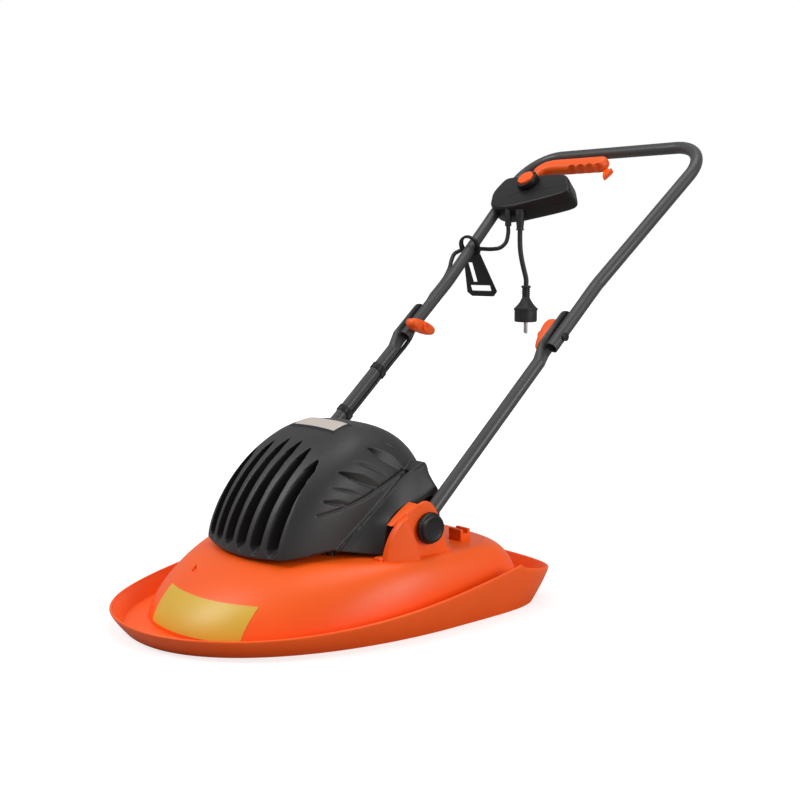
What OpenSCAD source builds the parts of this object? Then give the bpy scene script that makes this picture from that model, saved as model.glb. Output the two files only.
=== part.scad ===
// Electric hover mower: floating deck, vented motor cover, direct-drive rotor
// and a two-part tubular handle that tilts on the deck and folds in the middle.
// Millimetres, +Z up, deck front towards -Y, operator behind the deck at +Y.
// The origin lies on the ground, midway along the overall length.

/* [Deck] */
// Half width over the flared lip
lip_half_w = 230; // [222:1:250]
// Spindle to the front of the lip
lip_front = 271; // [262:1:290]
// Spindle to the rear of the lip
lip_rear = 305; // [296:1:320]
// Spindle to the widest place of the deck
widest_y = 95; // [85:1:105]
// How far the lip leans outward from its foot
lip_flare = 18; // [12:0.5:20]
// Height of the lip at the front
lip_front_h = 26; // [20:1:32]
// Height of the lip at its crest beside the handle
lip_crest_h = 68; // [55:1:75]
// Height of the lip across the rear
lip_rear_h = 44; // [34:1:50]
// Wall of the deck moulding
deck_wall = 3; // [2.5:0.1:4]
// Height of the gutter floor inside the lip
gutter_z = 5; // [4:0.5:8]
// Half width of the dome at the gutter
dome_half_w = 203; // [198:1:204]
// Spindle to the front of the dome at the gutter
dome_front = 216; // [212:1:222]
// Spindle to the rear of the dome at the gutter
dome_rear = 265; // [258:1:272]
// Height of the flat top of the dome
dome_z = 90; // [86:1:94]
// How far the dome draws in at the front, from gutter to top
dome_run_front = 123; // [110:1:130]
// How far the dome draws in at the sides
dome_run_side = 30; // [26:1:34]
// How far the dome draws in at the rear
dome_run_rear = 60; // [48:1:70]

/* [Motor cover] */
// Half width of the cover at its lower edge
cover_half_w = 115; // [110:1:118]
// Spindle to the front of the cover
cover_front = 115; // [112:1:118]
// Spindle to the rear of the cover
cover_rear = 180; // [176:1:186]
// Spindle to the crown of the cover
crown_y = 47; // [44:1:52]
// Height of the crown above the ground
crown_z = 252; // [246:1:262]
// Wall of the cover
cover_wall = 3; // [2.5:0.1:3.5]
// Spacing of the air slots across the front
slot_pitch = 28; // [26:0.5:29]
// Width of an air slot at its foot
slot_foot_w = 19; // [14:0.5:20]
// Width of an air slot at its top
slot_top_w = 8; // [6:0.5:9]
// Number of air slots
slot_count = 6; // [4:2:6]
// Height of the air slots' lower ends
slot_foot_z = 103; // [101:1:108]
// Height of the middle air slots' upper ends
slot_top_z = 228; // [215:1:232]

/* [Handle] */
// Outer diameter of the handle tubes
tube_d = 19; // [18:0.5:20]
// Wall of the handle tubes
tube_wall = 1.6; // [1.2:0.1:2]
// Reach of the cover's shoulders, past its sides, towards the yokes
ear_span = 29.6; // [27:0.1:31]
// Height of the handle pivot above the ground
pivot_z = 127; // [124:1:132]
// Spindle to the handle pivot, rearward
pivot_y = 75; // [70:1:80]
// Angle of the handle above the horizontal
handle_angle = 42.3; // [38:0.1:48]
// Pivot to the fold bolt along the leg
fold_s = 352; // [335:1:370]
// Fold bolt to the lower end of the upper tube
upper_tail = 23; // [20:1:26]
// Fold bolt to the tip of the flattened tongue
tongue_reach = 46; // [36:1:52]
// Width of the flattened tongue
tongue_w = 27; // [24:1:29]
// Thickness of the flattened tongue, two tube walls
tongue_t = 3.6; // [3:0.1:4]
// Fold bolt to the splay of the upper handle
splay_reach = 106; // [100:1:115]
// Splay angle of the upper legs
splay_angle = 6.1; // [4:0.1:8]
// Splay to the crossbar, square to the crossbar
bar_rise = 316; // [300:1:330]
// Radius of the corner bends, to the tube's middle
corner_r = 65; // [60:1:70]

/* [Switch box] */
// Width of the switch box across the handle
box_w = 186; // [180:1:195]
// Length of the switch box along the handle
box_l = 85; // [82:1:92]
// Height of the box above the handle's middle plane
box_up = 18; // [16:0.5:21]
// Depth of the box below the handle's middle plane
box_down = 20; // [18:0.5:24]
// Wall of the switch box
box_wall = 2.5; // [2:0.1:3]
// Lower edge of the box to the crossbar
box_drop = 152; // [150:1:156]
// Diameter of the lock button
button_d = 29; // [26:0.5:31]
// Travel of the lock button
button_travel = 4; // [3:0.5:5]
// Thickness of the start lever
lever_t = 20; // [16:0.5:22]
// Squeeze travel of the lever at its tip
lever_travel = 11; // [8:0.5:12]

/* [Cutting gear] */
// Diameter swept by the blade
blade_d = 300; // [280:1:310]
// Width of the blade
blade_w = 48; // [40:1:56]
// Thickness of the blade
blade_t = 3; // [2.5:0.1:4]
// Height of the underside of the blade
blade_z = 17; // [15:1:20]
// Thickness of one height spacer
spacer_t = 6; // [5:0.5:7]
// Diameter of the impeller
impeller_d = 240; // [220:1:250]
// Height of the impeller vanes
vane_h = 26; // [20:1:28]
// Number of impeller vanes
vane_count = 12; // [8:1:16]

/* [Cords] */
// Diameter of the mains lead
lead_d = 8.4; // [7:0.1:9]
// Diameter of the motor cable
cable_d = 7; // [6:0.1:7.2]

/* [Hidden] */
$fn = 48;

// Clearance between pieces that sit together
seat = 0.1;
// Clearance between pieces that move past each other
gap = 0.3;
// Radial clearance of a shaft or bolt that turns in its hole
run_fit = 0.05;
// How far a cut runs past the face that it opens
over = 1;

tube_r = tube_d / 2;
bore_r = tube_r - tube_wall;
splay_s = fold_s + splay_reach;
bar_s = splay_s + bar_rise;
// Sideways step between the lower and the upper tubes, both lying on the tongue
step_x = tongue_t + gap;
mid_y = (pivot_y + bar_s * cos(handle_angle) + tube_r - lip_front) / 2;
// Thickness of a yoke cheek, and the room between it and the cover's shoulder
cheek_t = 4;
ear_clear = 0.6;
ear_out = cover_half_w + ear_span;
// Half the distance between the lower tubes, which stand in the yokes
leg_half_x = ear_out + ear_clear + cheek_t + gap + tube_r;

// Puts a piece that is drawn about the spindle into the part's frame.
module in_frame() {
    translate([0, -mid_y, 0])
        children();
}

// Puts a piece that is drawn in the handle's plane, X across, Y along the legs, into the frame.
module in_handle() {
    in_frame()
        translate([0, pivot_y, pivot_z])
            rotate([handle_angle, 0, 0])
                children();
}

// Rod along X between two places.
module rod_x(r, from, to) {
    translate([from, 0, 0])
        rotate([0, 90, 0])
            cylinder(r = r, h = to - from);
}

module both_sides() {
    children();
    mirror([1, 0, 0])
        children();
}

// Turns a section drawn in Y and Z into a slab between two places on X.
module slab_x(from, to) {
    translate([from, 0, 0])
        rotate([90, 0, 90])
            linear_extrude(to - from)
                children();
}

function sgnpow(v, e) = sign(v) * pow(abs(v), e);

// Point of a plan outline at an angle: half width, front and rear reach, middle, two exponents.
function plan(a, w, front, rear, c, n_front, n_rear) =
    let (
        n = sin(a) < 0 ? n_front : n_rear,
        b = sin(a) < 0 ? front + c : rear - c
    )
    [w * sgnpow(cos(a), 2 / n), c + b * sgnpow(sin(a), 2 / n)];

// How far a rounded side has drawn in at a share of its height.
function drawn_in(h, run, n) = run * (1 - pow(1 - pow(h, n), 1 / n));

// Triangles of a closed loft: ring sections of m points, n of them round a loop.
function loop_faces(n, m) = [
    for (i = [0 : n - 1])
        for (j = [0 : m - 1])
            let (
                a = i * m + j,
                b = i * m + (j + 1) % m,
                c = ((i + 1) % n) * m + j,
                d = ((i + 1) % n) * m + (j + 1) % m
            )
            each [[a, b, c], [b, d, c]]
];

// Deck moulding

deck_steps = 72;
lip_front_n = 2.15;
lip_rear_n = 5;
dome_front_n = 2.2;
dome_rear_n = 5;
dome_profile_n = 1.45;
dome_side_n = 2.2;
dome_rear_profile_n = 2;
dome_shares = [0, 0.16, 0.34, 0.52, 0.68, 0.81, 0.91, 0.97, 1];
// Where the lip starts to climb, and how it climbs to its crest, as shares of the lip's reach
climb_start_share = 0.74;
crest_share = 0.64;
climb_n = 1.7;
motor_hole_r = 52;

climb_y = -lip_front * climb_start_share;
crest_y = lip_rear * crest_share;
function lip_z(y) =
    y < climb_y ? lip_front_h :
    y < crest_y ? lip_front_h
        + (lip_crest_h - lip_front_h) * pow((y - climb_y) / (crest_y - climb_y), climb_n) :
    lip_crest_h - (lip_crest_h - lip_rear_h) * pow((y - crest_y) / (lip_rear - crest_y), 1 / climb_n);

function lip_point(a, inset) =
    plan(a, lip_half_w - inset, lip_front - inset, lip_rear - inset, widest_y, lip_front_n, lip_rear_n);

function dome_point(a, h, inset) =
    plan(a, dome_half_w - inset - drawn_in(h, dome_run_side, dome_side_n),
        dome_front - inset - drawn_in(h, dome_run_front, dome_profile_n),
        dome_rear - inset - drawn_in(h, dome_run_rear, dome_rear_profile_n),
        widest_y, dome_front_n, dome_rear_n);

function raised(p, z) = [p[0], p[1], z];

function deck_section(a) =
    let (rim = lip_point(a, 0), rim_z = lip_z(rim[1]))
    concat(
        [raised(lip_point(a, lip_flare), 0)],
        [raised(rim, rim_z)],
        [raised(lip_point(a, deck_wall), rim_z)],
        [raised(lip_point(a, lip_flare), gutter_z)],
        [for (h = dome_shares) raised(dome_point(a, h, 0), gutter_z + (dome_z - gutter_z) * h)],
        [raised(motor_hole_r * [cos(a), sin(a)], dome_z)],
        [raised(motor_hole_r * [cos(a), sin(a)], dome_z - deck_wall)],
        [for (i = [len(dome_shares) - 1 : -1 : 0])
            let (h = dome_shares[i])
            raised(dome_point(a, h, deck_wall), gutter_z - deck_wall + (dome_z - gutter_z) * h)],
        [raised(lip_point(a, lip_flare + deck_wall), gutter_z - deck_wall)],
        [raised(lip_point(a, lip_flare + deck_wall), 0)]
    );

module deck_skin() {
    sections = [for (i = [0 : deck_steps - 1]) deck_section(i * 360 / deck_steps)];
    polyhedron([for (s = sections) each s], loop_faces(deck_steps, len(sections[0])));
}

// Handle yoke: two arched cheeks with the tube between them, and a fin ahead of the knob

arch_r = 33;
arch_front = 69;
arch_rear = 50;
arch_foot = 52;
knob_d = 42;
// The inner cheek is lower and shorter, so that the cover's shoulder hides it
inner_arch_r = 20;
inner_front = 44;
knob_t = 12;
fin_t = 9;
fin_points = [[-82, -52], [-77, -32], [-68, -8], [-57, 13], [-46, 4], [-34, -10], [-24, -25], [-19, -52]];
pivot_bolt_r = 4;
yoke_in = leg_half_x - tube_r - gap - cheek_t;
yoke_out = leg_half_x + tube_r + gap + cheek_t;
// Lowest place that the tube's end reaches below the pivot
tube_end = 15;

function tangent(p, r, side) =
    let (a = atan2(p[1], p[0]) + side * acos(r / norm(p)))
    [r * cos(a), r * sin(a)];

module arch(r, front, rear, foot) {
    polygon([[-front, -foot], tangent([-front, -foot], r, -1), [0, 0], tangent([rear, -foot], r, 1),
        [rear, -foot]]);
    circle(r);
}

module yoke() {
    floor_h = arch_foot - tube_end - tube_r;
    difference() {
        union() {
            slab_x(yoke_in, yoke_in + cheek_t)
                arch(inner_arch_r, inner_front, arch_rear, arch_foot);
            slab_x(yoke_out - cheek_t, yoke_out)
                arch(arch_r, arch_front, arch_rear, arch_foot);
            slab_x(yoke_in, yoke_out)
                translate([-arch_front, -arch_foot])
                    square([arch_front + arch_rear, floor_h]);
            slab_x(yoke_out - seat, yoke_out + fin_t)
                polygon(fin_points);
        }
        rod_x(pivot_bolt_r + seat, yoke_in - over, yoke_out + over);
    }
}

// Moulded catch behind the yoke, a block with a notch
catch_w = 39;
catch_l = 20;
catch_h = 18;
catch_notch = 9;
catch_inset = 25;
catch_x = leg_half_x - catch_inset;
catch_back = 103;

module catch_block() {
    translate([catch_x, pivot_y + catch_back, dome_z - deck_wall])
        difference() {
            translate([-catch_w / 2, -catch_l / 2, 0])
                cube([catch_w, catch_l, catch_h + deck_wall]);
            translate([-catch_w / 2 - over, -catch_notch / 2, catch_h / 2 + deck_wall])
                cube([catch_w + 2 * over, catch_notch, catch_h]);
        }
}

module deck_shell() {
    color("orangered")
        in_frame()
            difference() {
                union() {
                    deck_skin();
                    both_sides()
                        translate([0, pivot_y, pivot_z])
                            yoke();
                    catch_block();
                }
                for (a = plate_screw_angles)
                    rotate([0, 0, a])
                        translate([plate_screw_ring, 0, dome_z - deck_wall - over])
                            cylinder(r = screw_r + seat, h = deck_wall + 2 * over);
                at_cover_screws()
                    translate([0, 0, -deck_wall - over])
                        cylinder(r = screw_r + seat, h = deck_wall + 2 * over);
            }
}

// Motor cover

cover_steps = 72;
cover_edge_z = 88;
cover_lift = 15;
cover_foot_n = 3;
cover_crown_n = 2.5;
cover_rear_n = 2.7;
cover_side_n = 3.3;
cover_front_profile_n = 1.56;
cover_rear_profile_n = 2.35;
// The face is a flat arc that cuts off the rounder form ahead of it, which leaves a corner at each side
face_reach = 17;
face_share = 0.78;
face_bow = 18;
cover_shares = [0, 0.1, 0.22, 0.36, 0.5, 0.63, 0.75, 0.85, 0.93, 0.98];
// Where the lower edge starts to climb off the dome and where it is up, as shares of the front reach
lift_start_share = 0.78;
lift_end_share = 0.3;

function level(v, lo, hi) = min(1, max(0, (v - lo) / (hi - lo)));

function cover_edge(y) =
    cover_edge_z + cover_lift * level(y, -cover_front * lift_start_share, -cover_front * lift_end_share);

function cover_ring(h, inset) = [
    for (i = [0 : cover_steps - 1])
        let (
            back = drawn_in(h, cover_front + crown_y, cover_front_profile_n),
            rear = cover_rear - crown_y - drawn_in(h, cover_rear - crown_y, cover_rear_profile_n),
            p = plan(i * 360 / cover_steps,
                cover_half_w - drawn_in(h, cover_half_w, cover_side_n) - inset,
                cover_front + face_reach * (1 - h) - back - inset, rear - inset + crown_y, crown_y,
                cover_foot_n + (cover_crown_n - cover_foot_n) * h, cover_rear_n),
            face = back + inset - cover_front + face_bow * pow(p[0] / (cover_half_w * face_share), 2),
            q = [p[0], max(p[1], face)],
            edge = cover_edge(q[1]) - inset
        )
        raised(q, edge + (crown_z - inset - edge) * h)
];

// Solid of the cover's form, drawn in from the outer skin by an amount.
module cover_form(inset) {
    rings = [for (h = cover_shares) each cover_ring(h, inset)];
    n = cover_steps;
    last = (len(cover_shares) - 1) * n;
    points = concat(rings, [[0, crown_y, crown_z - inset], [0, crown_y, cover_edge_z - inset]]);
    walls = [
        for (k = [0 : len(cover_shares) - 2])
            for (i = [0 : n - 1])
                let (a = k * n + i, b = k * n + (i + 1) % n)
                each [[a, a + n, b], [b, a + n, b + n]]
    ];
    crown = [for (i = [0 : n - 1]) [last + i, len(rings), last + (i + 1) % n]];
    foot = [for (i = [0 : n - 1]) [i, (i + 1) % n, len(rings) + 1]];
    polyhedron(points, concat(walls, crown, foot));
}

module air_slots() {
    slot_drop_share = 0.0225;
    first = (1 - slot_count) / 2;
    for (k = [first : 1 : -first])
        let (
            x = k * slot_pitch,
            top = slot_top_z - (slot_top_z - slot_foot_z) * slot_drop_share * (k * k - 1 / 4)
        )
        rotate([90, 0, 0])
            linear_extrude(2 * cover_front)
                polygon([[x - slot_foot_w / 2, slot_foot_z], [x + slot_foot_w / 2, slot_foot_z],
                    [x + slot_top_w / 2, top], [x - slot_top_w / 2, top]]);
}

// Shoulder of the cover that reaches out over the inner cheek of the yoke, sections in Y and Z
ear_sink = 23;
ear_swell = 5;
ear_in = cover_half_w - ear_sink;
ear_mid = cover_half_w + ear_swell;
ear_cut_clear = 7;
ear_cut_r = inner_arch_r + ear_cut_clear;
ear_drop = 9;
ear_foot_z = 93;
ear_root_points = [[-30, 93], [30, 150], [82, 188], [108, 199], [119, 198], [124, 93]];
ear_mid_points = [[10, 93], [60, 174], [108, 199], [119, 198], [124, 93]];
ear_tip_points = [[24, 93], [26, 113], [30, 133], [42, 147], [60, 155], [87, 163], [114, 172], [121, 150],
    [122, 93]];
ear_core_share = 0.94;

module ear_form() {
    hull() {
        slab_x(ear_in, ear_in + over)
            polygon(ear_root_points);
        slab_x(ear_mid, ear_mid + over)
            polygon(ear_mid_points);
        slab_x(ear_out - over, ear_out)
            polygon(ear_tip_points);
    }
}

module ear() {
    core = [ear_in, pivot_y, ear_foot_z - ear_drop];
    difference() {
        ear_form();
        translate(core)
            scale(ear_core_share)
                translate(-core)
                    ear_form();
        translate([0, pivot_y, pivot_z])
            rod_x(ear_cut_r, cover_half_w, ear_out + over);
    }
}

module motor_cover() {
    color("dimgray")
        in_frame()
            difference() {
                union() {
                    difference() {
                        cover_form(0);
                        cover_form(cover_wall);
                        air_slots();
                    }
                    both_sides()
                        difference() {
                            ear();
                            cover_form(cover_wall / 2);
                        }
                    intersection() {
                        at_cover_screws()
                            translate([0, 0, seat])
                                cylinder(r = cover_post_r, h = crown_z);
                        cover_form(cover_wall / 2);
                    }
                }
                at_cover_screws()
                    cylinder(r = screw_r + seat, h = cover_screw_l);
            }
}

// Fasteners shared by several pieces
screw_r = 2;
screw_head_r = 3.8;
screw_head_h = 2.6;

module screw(length) {
    cylinder(r = screw_r, h = length);
    translate([0, 0, length])
        cylinder(r = screw_head_r, h = screw_head_h);
}

// Cover screws come up through the dome into posts inside the cover
cover_screw_inset = 27;
cover_screw_x = cover_half_w - cover_screw_inset;
cover_screw_ys = [-20, 125];
cover_screw_l = 16;
cover_post_r = 5.5;

module at_cover_screws() {
    both_sides()
        for (y = cover_screw_ys)
            translate([cover_screw_x, y, dome_z])
                children();
}

module cover_screws() {
    color("silver")
        in_frame()
            at_cover_screws()
                translate([0, 0, cover_screw_l - deck_wall - 2 * seat])
                    mirror([0, 0, 1])
                        screw(cover_screw_l - seat);
}

// Motor, on the spindle

shaft_r = 5;
bearing_r = 13;
bearing_t = 8;
plate_t = 5;
plate_r = 66;
hub_r = 18;
hub_drop = 10;
plate_screw_ring = 59;
plate_screw_angles = [30, 150, 210, 330];
plate_window_r = 9;
plate_window_ring = 33;
post_h = 8;
post_r = 5;
bolt_ring = 43;
bolt_angles = [90, 270];
motor_bolt_r = 2;
stator_r = 47;
stator_in_r = 40;
stator_h = 55;
pole_gap = 0.4;
pole_half_w = 10;
shoe_t = 5.6;
shoe_half_angle = 58;
armature_r = 25;
coil_t = 3.9;
coil_w = 7.2;
coil_over = 6;
plate_top = dome_z + plate_t;
stator_z = plate_top + post_h;
stator_top = stator_z + stator_h;
commutator_r = 13;
commutator_h = 16;
commutator_lift = 4;
bracket_lift = 24;
bracket_t = 4;
bracket_z = stator_top + bracket_lift;
bracket_hub_h = 9;
lower_bearing_z = dome_z - hub_drop;
cap_t = 2;
upper_bearing_z = bracket_z + bracket_t + bracket_hub_h - bearing_t - 2 * seat - cap_t;

module at_bolts() {
    for (a = bolt_angles)
        rotate([0, 0, a])
            translate([bolt_ring, 0, 0])
                children();
}

module motor_plate() {
    color("silver")
        in_frame()
            difference() {
                union() {
                    translate([0, 0, dome_z])
                        cylinder(r = plate_r, h = plate_t);
                    translate([0, 0, lower_bearing_z])
                        cylinder(r = hub_r, h = hub_drop);
                    translate([0, 0, plate_top])
                        at_bolts()
                            cylinder(r = post_r, h = post_h);
                }
                translate([0, 0, lower_bearing_z - over])
                    cylinder(r = bearing_r + seat, h = bearing_t + over);
                translate([0, 0, lower_bearing_z])
                    cylinder(r = shaft_r + cap_t, h = hub_drop + plate_t + over);
                for (a = [0 : 60 : 300])
                    rotate([0, 0, a])
                        translate([plate_window_ring, 0, dome_z - over])
                            cylinder(r = plate_window_r, h = plate_t + 2 * over);
                for (a = plate_screw_angles)
                    rotate([0, 0, a])
                        translate([plate_screw_ring, 0, dome_z - over])
                            cylinder(r = screw_r + seat, h = plate_t + 2 * over);
                translate([0, 0, dome_z - over])
                    at_bolts()
                        cylinder(r = motor_bolt_r + seat, h = plate_t + post_h + 2 * over);
            }
}

module plate_screws() {
    color("dimgray")
        in_frame()
            for (a = plate_screw_angles)
                rotate([0, 0, a])
                    translate([plate_screw_ring, 0, dome_z - deck_wall + seat])
                        screw(deck_wall + plate_t);
}

module pole(r_in, r_out) {
    intersection() {
        difference() {
            circle(r_out);
            circle(r_in);
        }
        polygon([[0, 0], [2 * r_out * cos(shoe_half_angle), -2 * r_out * sin(shoe_half_angle)],
            [2 * r_out, 0], [2 * r_out * cos(shoe_half_angle), 2 * r_out * sin(shoe_half_angle)]]);
    }
}

module stator_core() {
    shoe_in = armature_r + pole_gap;
    color("gray")
        in_frame()
            difference() {
                translate([0, 0, stator_z])
                    linear_extrude(stator_h) {
                        difference() {
                            circle(stator_r);
                            circle(stator_in_r);
                        }
                        both_sides() {
                            pole(shoe_in, shoe_in + shoe_t);
                            translate([shoe_in + shoe_t / 2, -pole_half_w])
                                square([stator_in_r - shoe_in - shoe_t / 2 + over, 2 * pole_half_w]);
                        }
                    }
                translate([0, 0, stator_z - over])
                    at_bolts()
                        cylinder(r = motor_bolt_r + seat, h = stator_h + 2 * over);
            }
}

module field_coils() {
    coil_x = armature_r + pole_gap + shoe_t + 2 * seat;
    coil_half = pole_half_w + coil_w;
    color("chocolate")
        in_frame()
            both_sides()
                translate([coil_x, 0, stator_z])
                    difference() {
                        translate([0, -coil_half, -coil_over])
                            cube([coil_t, 2 * coil_half, stator_h + 2 * coil_over]);
                        translate([-over, -pole_half_w - seat, -seat])
                            cube([coil_t + 2 * over, 2 * (pole_half_w + seat), stator_h + 2 * seat]);
                    }
}

module brush_bracket() {
    color("dimgray")
        in_frame()
            difference() {
                union() {
                    translate([0, 0, bracket_z])
                        cylinder(r = stator_r, h = bracket_t);
                    translate([0, 0, bracket_z])
                        cylinder(r = hub_r, h = bracket_t + bracket_hub_h);
                    translate([0, 0, stator_top])
                        at_bolts()
                            cylinder(r = post_r, h = bracket_lift);
                }
                translate([0, 0, bracket_z - over])
                    cylinder(r = bearing_r + seat,
                        h = upper_bearing_z + bearing_t + seat - bracket_z + over);
                translate([0, 0, stator_top - over])
                    at_bolts()
                        cylinder(r = motor_bolt_r + seat, h = bracket_lift + bracket_t + 2 * over);
            }
}

// Carbon brushes in brass boxes, hung under the bracket on both sides of the commutator
brush_w = 6;
brush_h = 9;
brush_l = 17;
holder_wall = 1.2;
holder_clear = 2;
brush_z = stator_top + commutator_lift + commutator_h / 2;

module brush_holders() {
    holder_in = commutator_r + holder_clear;
    half = brush_w / 2 + seat + holder_wall;
    color("goldenrod")
        in_frame()
            both_sides()
                difference() {
                    translate([holder_in, -half, brush_z - brush_h / 2 - seat - holder_wall])
                        cube([brush_l, 2 * half,
                            bracket_z - brush_z + brush_h / 2 + seat + holder_wall]);
                    translate([holder_in - over, -brush_w / 2 - seat, brush_z - brush_h / 2 - seat])
                        cube([brush_l + 2 * over, brush_w + 2 * seat, brush_h + 2 * seat]);
                }
}

module carbon_brushes() {
    color("black")
        in_frame()
            both_sides()
                difference() {
                    translate([commutator_r - over, -brush_w / 2, brush_z - brush_h / 2])
                        cube([brush_l + over, brush_w, brush_h]);
                    translate([0, 0, brush_z - brush_h])
                        cylinder(r = commutator_r + run_fit, h = 2 * brush_h);
                }
}

module bearing(z) {
    in_frame()
        translate([0, 0, z])
            difference() {
                cylinder(r = bearing_r, h = bearing_t);
                translate([0, 0, -over])
                    cylinder(r = shaft_r + run_fit, h = bearing_t + 2 * over);
            }
}

module lower_bearing() {
    color("lightgray")
        bearing(lower_bearing_z);
}

module upper_bearing() {
    color("lightgray")
        bearing(upper_bearing_z);
}

module motor_bolts() {
    color("silver")
        in_frame()
            at_bolts()
                translate([0, 0, dome_z])
                    screw(plate_t + post_h + stator_h + bracket_lift + bracket_t + seat);
}

module motor_shaft() {
    color("lightgray")
        in_frame()
            difference() {
                translate([0, 0, stack_z])
                    cylinder(r = shaft_r, h = upper_bearing_z + bearing_t - stack_z);
                translate([0, 0, stack_z - over])
                    cylinder(r = blade_bolt_r + seat, h = blade_bolt_l + 2 * over);
            }
}

armature_slots = 12;
armature_slot_w = 4;
armature_slot_d = 6;

module armature_core() {
    color("slategray")
        in_frame()
            translate([0, 0, stator_z])
                linear_extrude(stator_h)
                    difference() {
                        circle(armature_r);
                        circle(shaft_r + seat);
                        for (a = [0 : 360 / armature_slots : 359])
                            rotate([0, 0, a])
                                translate([armature_r - armature_slot_d, -armature_slot_w / 2])
                                    square([armature_slot_d + over, armature_slot_w]);
                    }
}

coil_end_h = 3.4;

module armature_coils() {
    color("peru")
        in_frame()
            for (z = [stator_z - coil_end_h, stator_top])
                translate([0, 0, z])
                    difference() {
                        cylinder(r = armature_r - shoe_t / 2, h = coil_end_h);
                        translate([0, 0, -over])
                            cylinder(r = shaft_r + seat, h = coil_end_h + 2 * over);
                    }
}

module commutator() {
    color("goldenrod")
        in_frame()
            translate([0, 0, stator_top + commutator_lift])
                difference() {
                    cylinder(r = commutator_r, h = commutator_h);
                    translate([0, 0, -over])
                        cylinder(r = shaft_r + seat, h = commutator_h + 2 * over);
                }
}

// Impeller, spacers and blade, stacked on the lower end of the shaft

blade_bolt_r = 4;
blade_bolt_l = 28;
bolt_head_r = 8;
bolt_head_h = 6;
washer_r = 17;
washer_t = 3;
stack_z = blade_z + blade_t;
hub_z = stack_z + 2 * spacer_t;
spacer_r = 26;
impeller_hub_r = 17;
impeller_plate_t = 3;
impeller_clear = 5;
impeller_plate_z = lower_bearing_z - impeller_clear - impeller_plate_t;
vane_t = 2.5;
vane_lean = 28;
blade_tip_w = 30;
blade_edge = 8;

module impeller() {
    color("black")
        in_frame()
            difference() {
                union() {
                    translate([0, 0, impeller_plate_z])
                        cylinder(d = impeller_d, h = impeller_plate_t);
                    translate([0, 0, hub_z])
                        cylinder(r = impeller_hub_r, h = impeller_plate_z - hub_z + impeller_plate_t);
                    intersection() {
                        for (a = [0 : 360 / vane_count : 359])
                            rotate([0, 0, a])
                                translate([impeller_hub_r - over, 0, impeller_plate_z - vane_h])
                                    rotate([0, 0, vane_lean])
                                        translate([0, -vane_t / 2, 0])
                                            cube([impeller_d / 2, vane_t, vane_h + over]);
                        cylinder(d = impeller_d, h = impeller_plate_z + over);
                    }
                }
                translate([0, 0, hub_z - over])
                    cylinder(r = shaft_r + seat, h = impeller_plate_z);
            }
}

module height_spacers() {
    color("dimgray")
        in_frame()
            for (k = [0, 1])
                translate([0, 0, stack_z + k * spacer_t])
                    difference() {
                        cylinder(r = spacer_r, h = spacer_t);
                        translate([0, 0, -over])
                            cylinder(r = shaft_r + seat, h = spacer_t + 2 * over);
                    }
}

module cutting_blade() {
    reach = blade_d / 2 * cos(asin(blade_tip_w / blade_d));
    color("lightsteelblue")
        in_frame()
            translate([0, 0, blade_z])
                linear_extrude(blade_t)
                    difference() {
                        for (a = [0, 180])
                            rotate([0, 0, a])
                                polygon([[0, -blade_w / 2], [blade_w, -blade_w / 2],
                                    [reach, -blade_tip_w / 2], [reach, blade_tip_w / 2 - blade_edge],
                                    [blade_w, blade_w / 2], [0, blade_w / 2]]);
                        circle(blade_bolt_r + seat);
                    }
}

module blade_washer() {
    color("silver")
        in_frame()
            translate([0, 0, blade_z - washer_t])
                difference() {
                    cylinder(r = washer_r, h = washer_t);
                    translate([0, 0, -over])
                        cylinder(r = blade_bolt_r + seat, h = washer_t + 2 * over);
                }
}

module blade_bolt() {
    head_z = blade_z - washer_t - bolt_head_h;
    color("silver")
        in_frame()
            translate([0, 0, head_z]) {
                cylinder(r = bolt_head_r, h = bolt_head_h, $fn = 6);
                cylinder(r = blade_bolt_r, h = bolt_head_h + washer_t + blade_t + blade_bolt_l);
            }
}

// Handle pivots

pivot_head_r = 8;
pivot_head_h = 3.5;
bush_r = 6;
knob_core_r = 8;
knob_hole = 11;
knob_ribs = 18;
knob_rib_r = 1.6;
knob_rib_inset = 0.8;
knob_cap_share = 0.72;
knob_rim_share = 0.6;
knob_step_share = 0.8;
knob_x = yoke_out + gap;

module pivot_bolts() {
    color("silver")
        in_frame()
            both_sides()
                translate([0, pivot_y, pivot_z]) {
                    rod_x(pivot_bolt_r, yoke_in, knob_x + knob_hole - gap);
                    rod_x(pivot_head_r, yoke_in - pivot_head_h, yoke_in);
                }
}

module pivot_bushes() {
    color("ivory")
        in_handle()
            both_sides()
                difference() {
                    rod_x(bush_r, leg_half_x - tube_r, leg_half_x + tube_r);
                    rod_x(pivot_bolt_r + run_fit, leg_half_x - tube_d, leg_half_x + tube_d);
                }
}

// Round knob on a pivot bolt, drawn with its flat face at x = 0.
module pivot_knob() {
    rim_r = knob_d / 2 - knob_rib_r;
    rim_t = knob_t * knob_rim_share;
    cap_r = knob_d / 2 * knob_cap_share;
    difference() {
        union() {
            rotate([90, 0, 90])
                rotate_extrude()
                    polygon([[0, 0], [rim_r, 0], [rim_r, rim_t], [cap_r, knob_t * knob_step_share],
                        [cap_r, knob_t], [0, knob_t]]);
            for (k = [0 : knob_ribs - 1])
                rotate([(k + 1 / 2) * 360 / knob_ribs, 0, 0])
                    translate([0, rim_r, 0])
                        rod_x(knob_rib_r, knob_rib_inset, rim_t - knob_rib_inset);
        }
        rod_x(pivot_bolt_r + run_fit, -over, knob_hole);
    }
}

module pivot_knob_left() {
    color("black")
        in_frame()
            translate([knob_x, pivot_y, pivot_z])
                pivot_knob();
}

module pivot_knob_right() {
    color("black")
        in_frame()
            mirror([1, 0, 0])
                translate([knob_x, pivot_y, pivot_z])
                    pivot_knob();
}

// Lower tubes: round, then pressed flat into a tongue on their -X side

crush_reach = 52;
flat_reach = 28;
fold_bolt_r = 3;
slice = 0.5;

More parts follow.
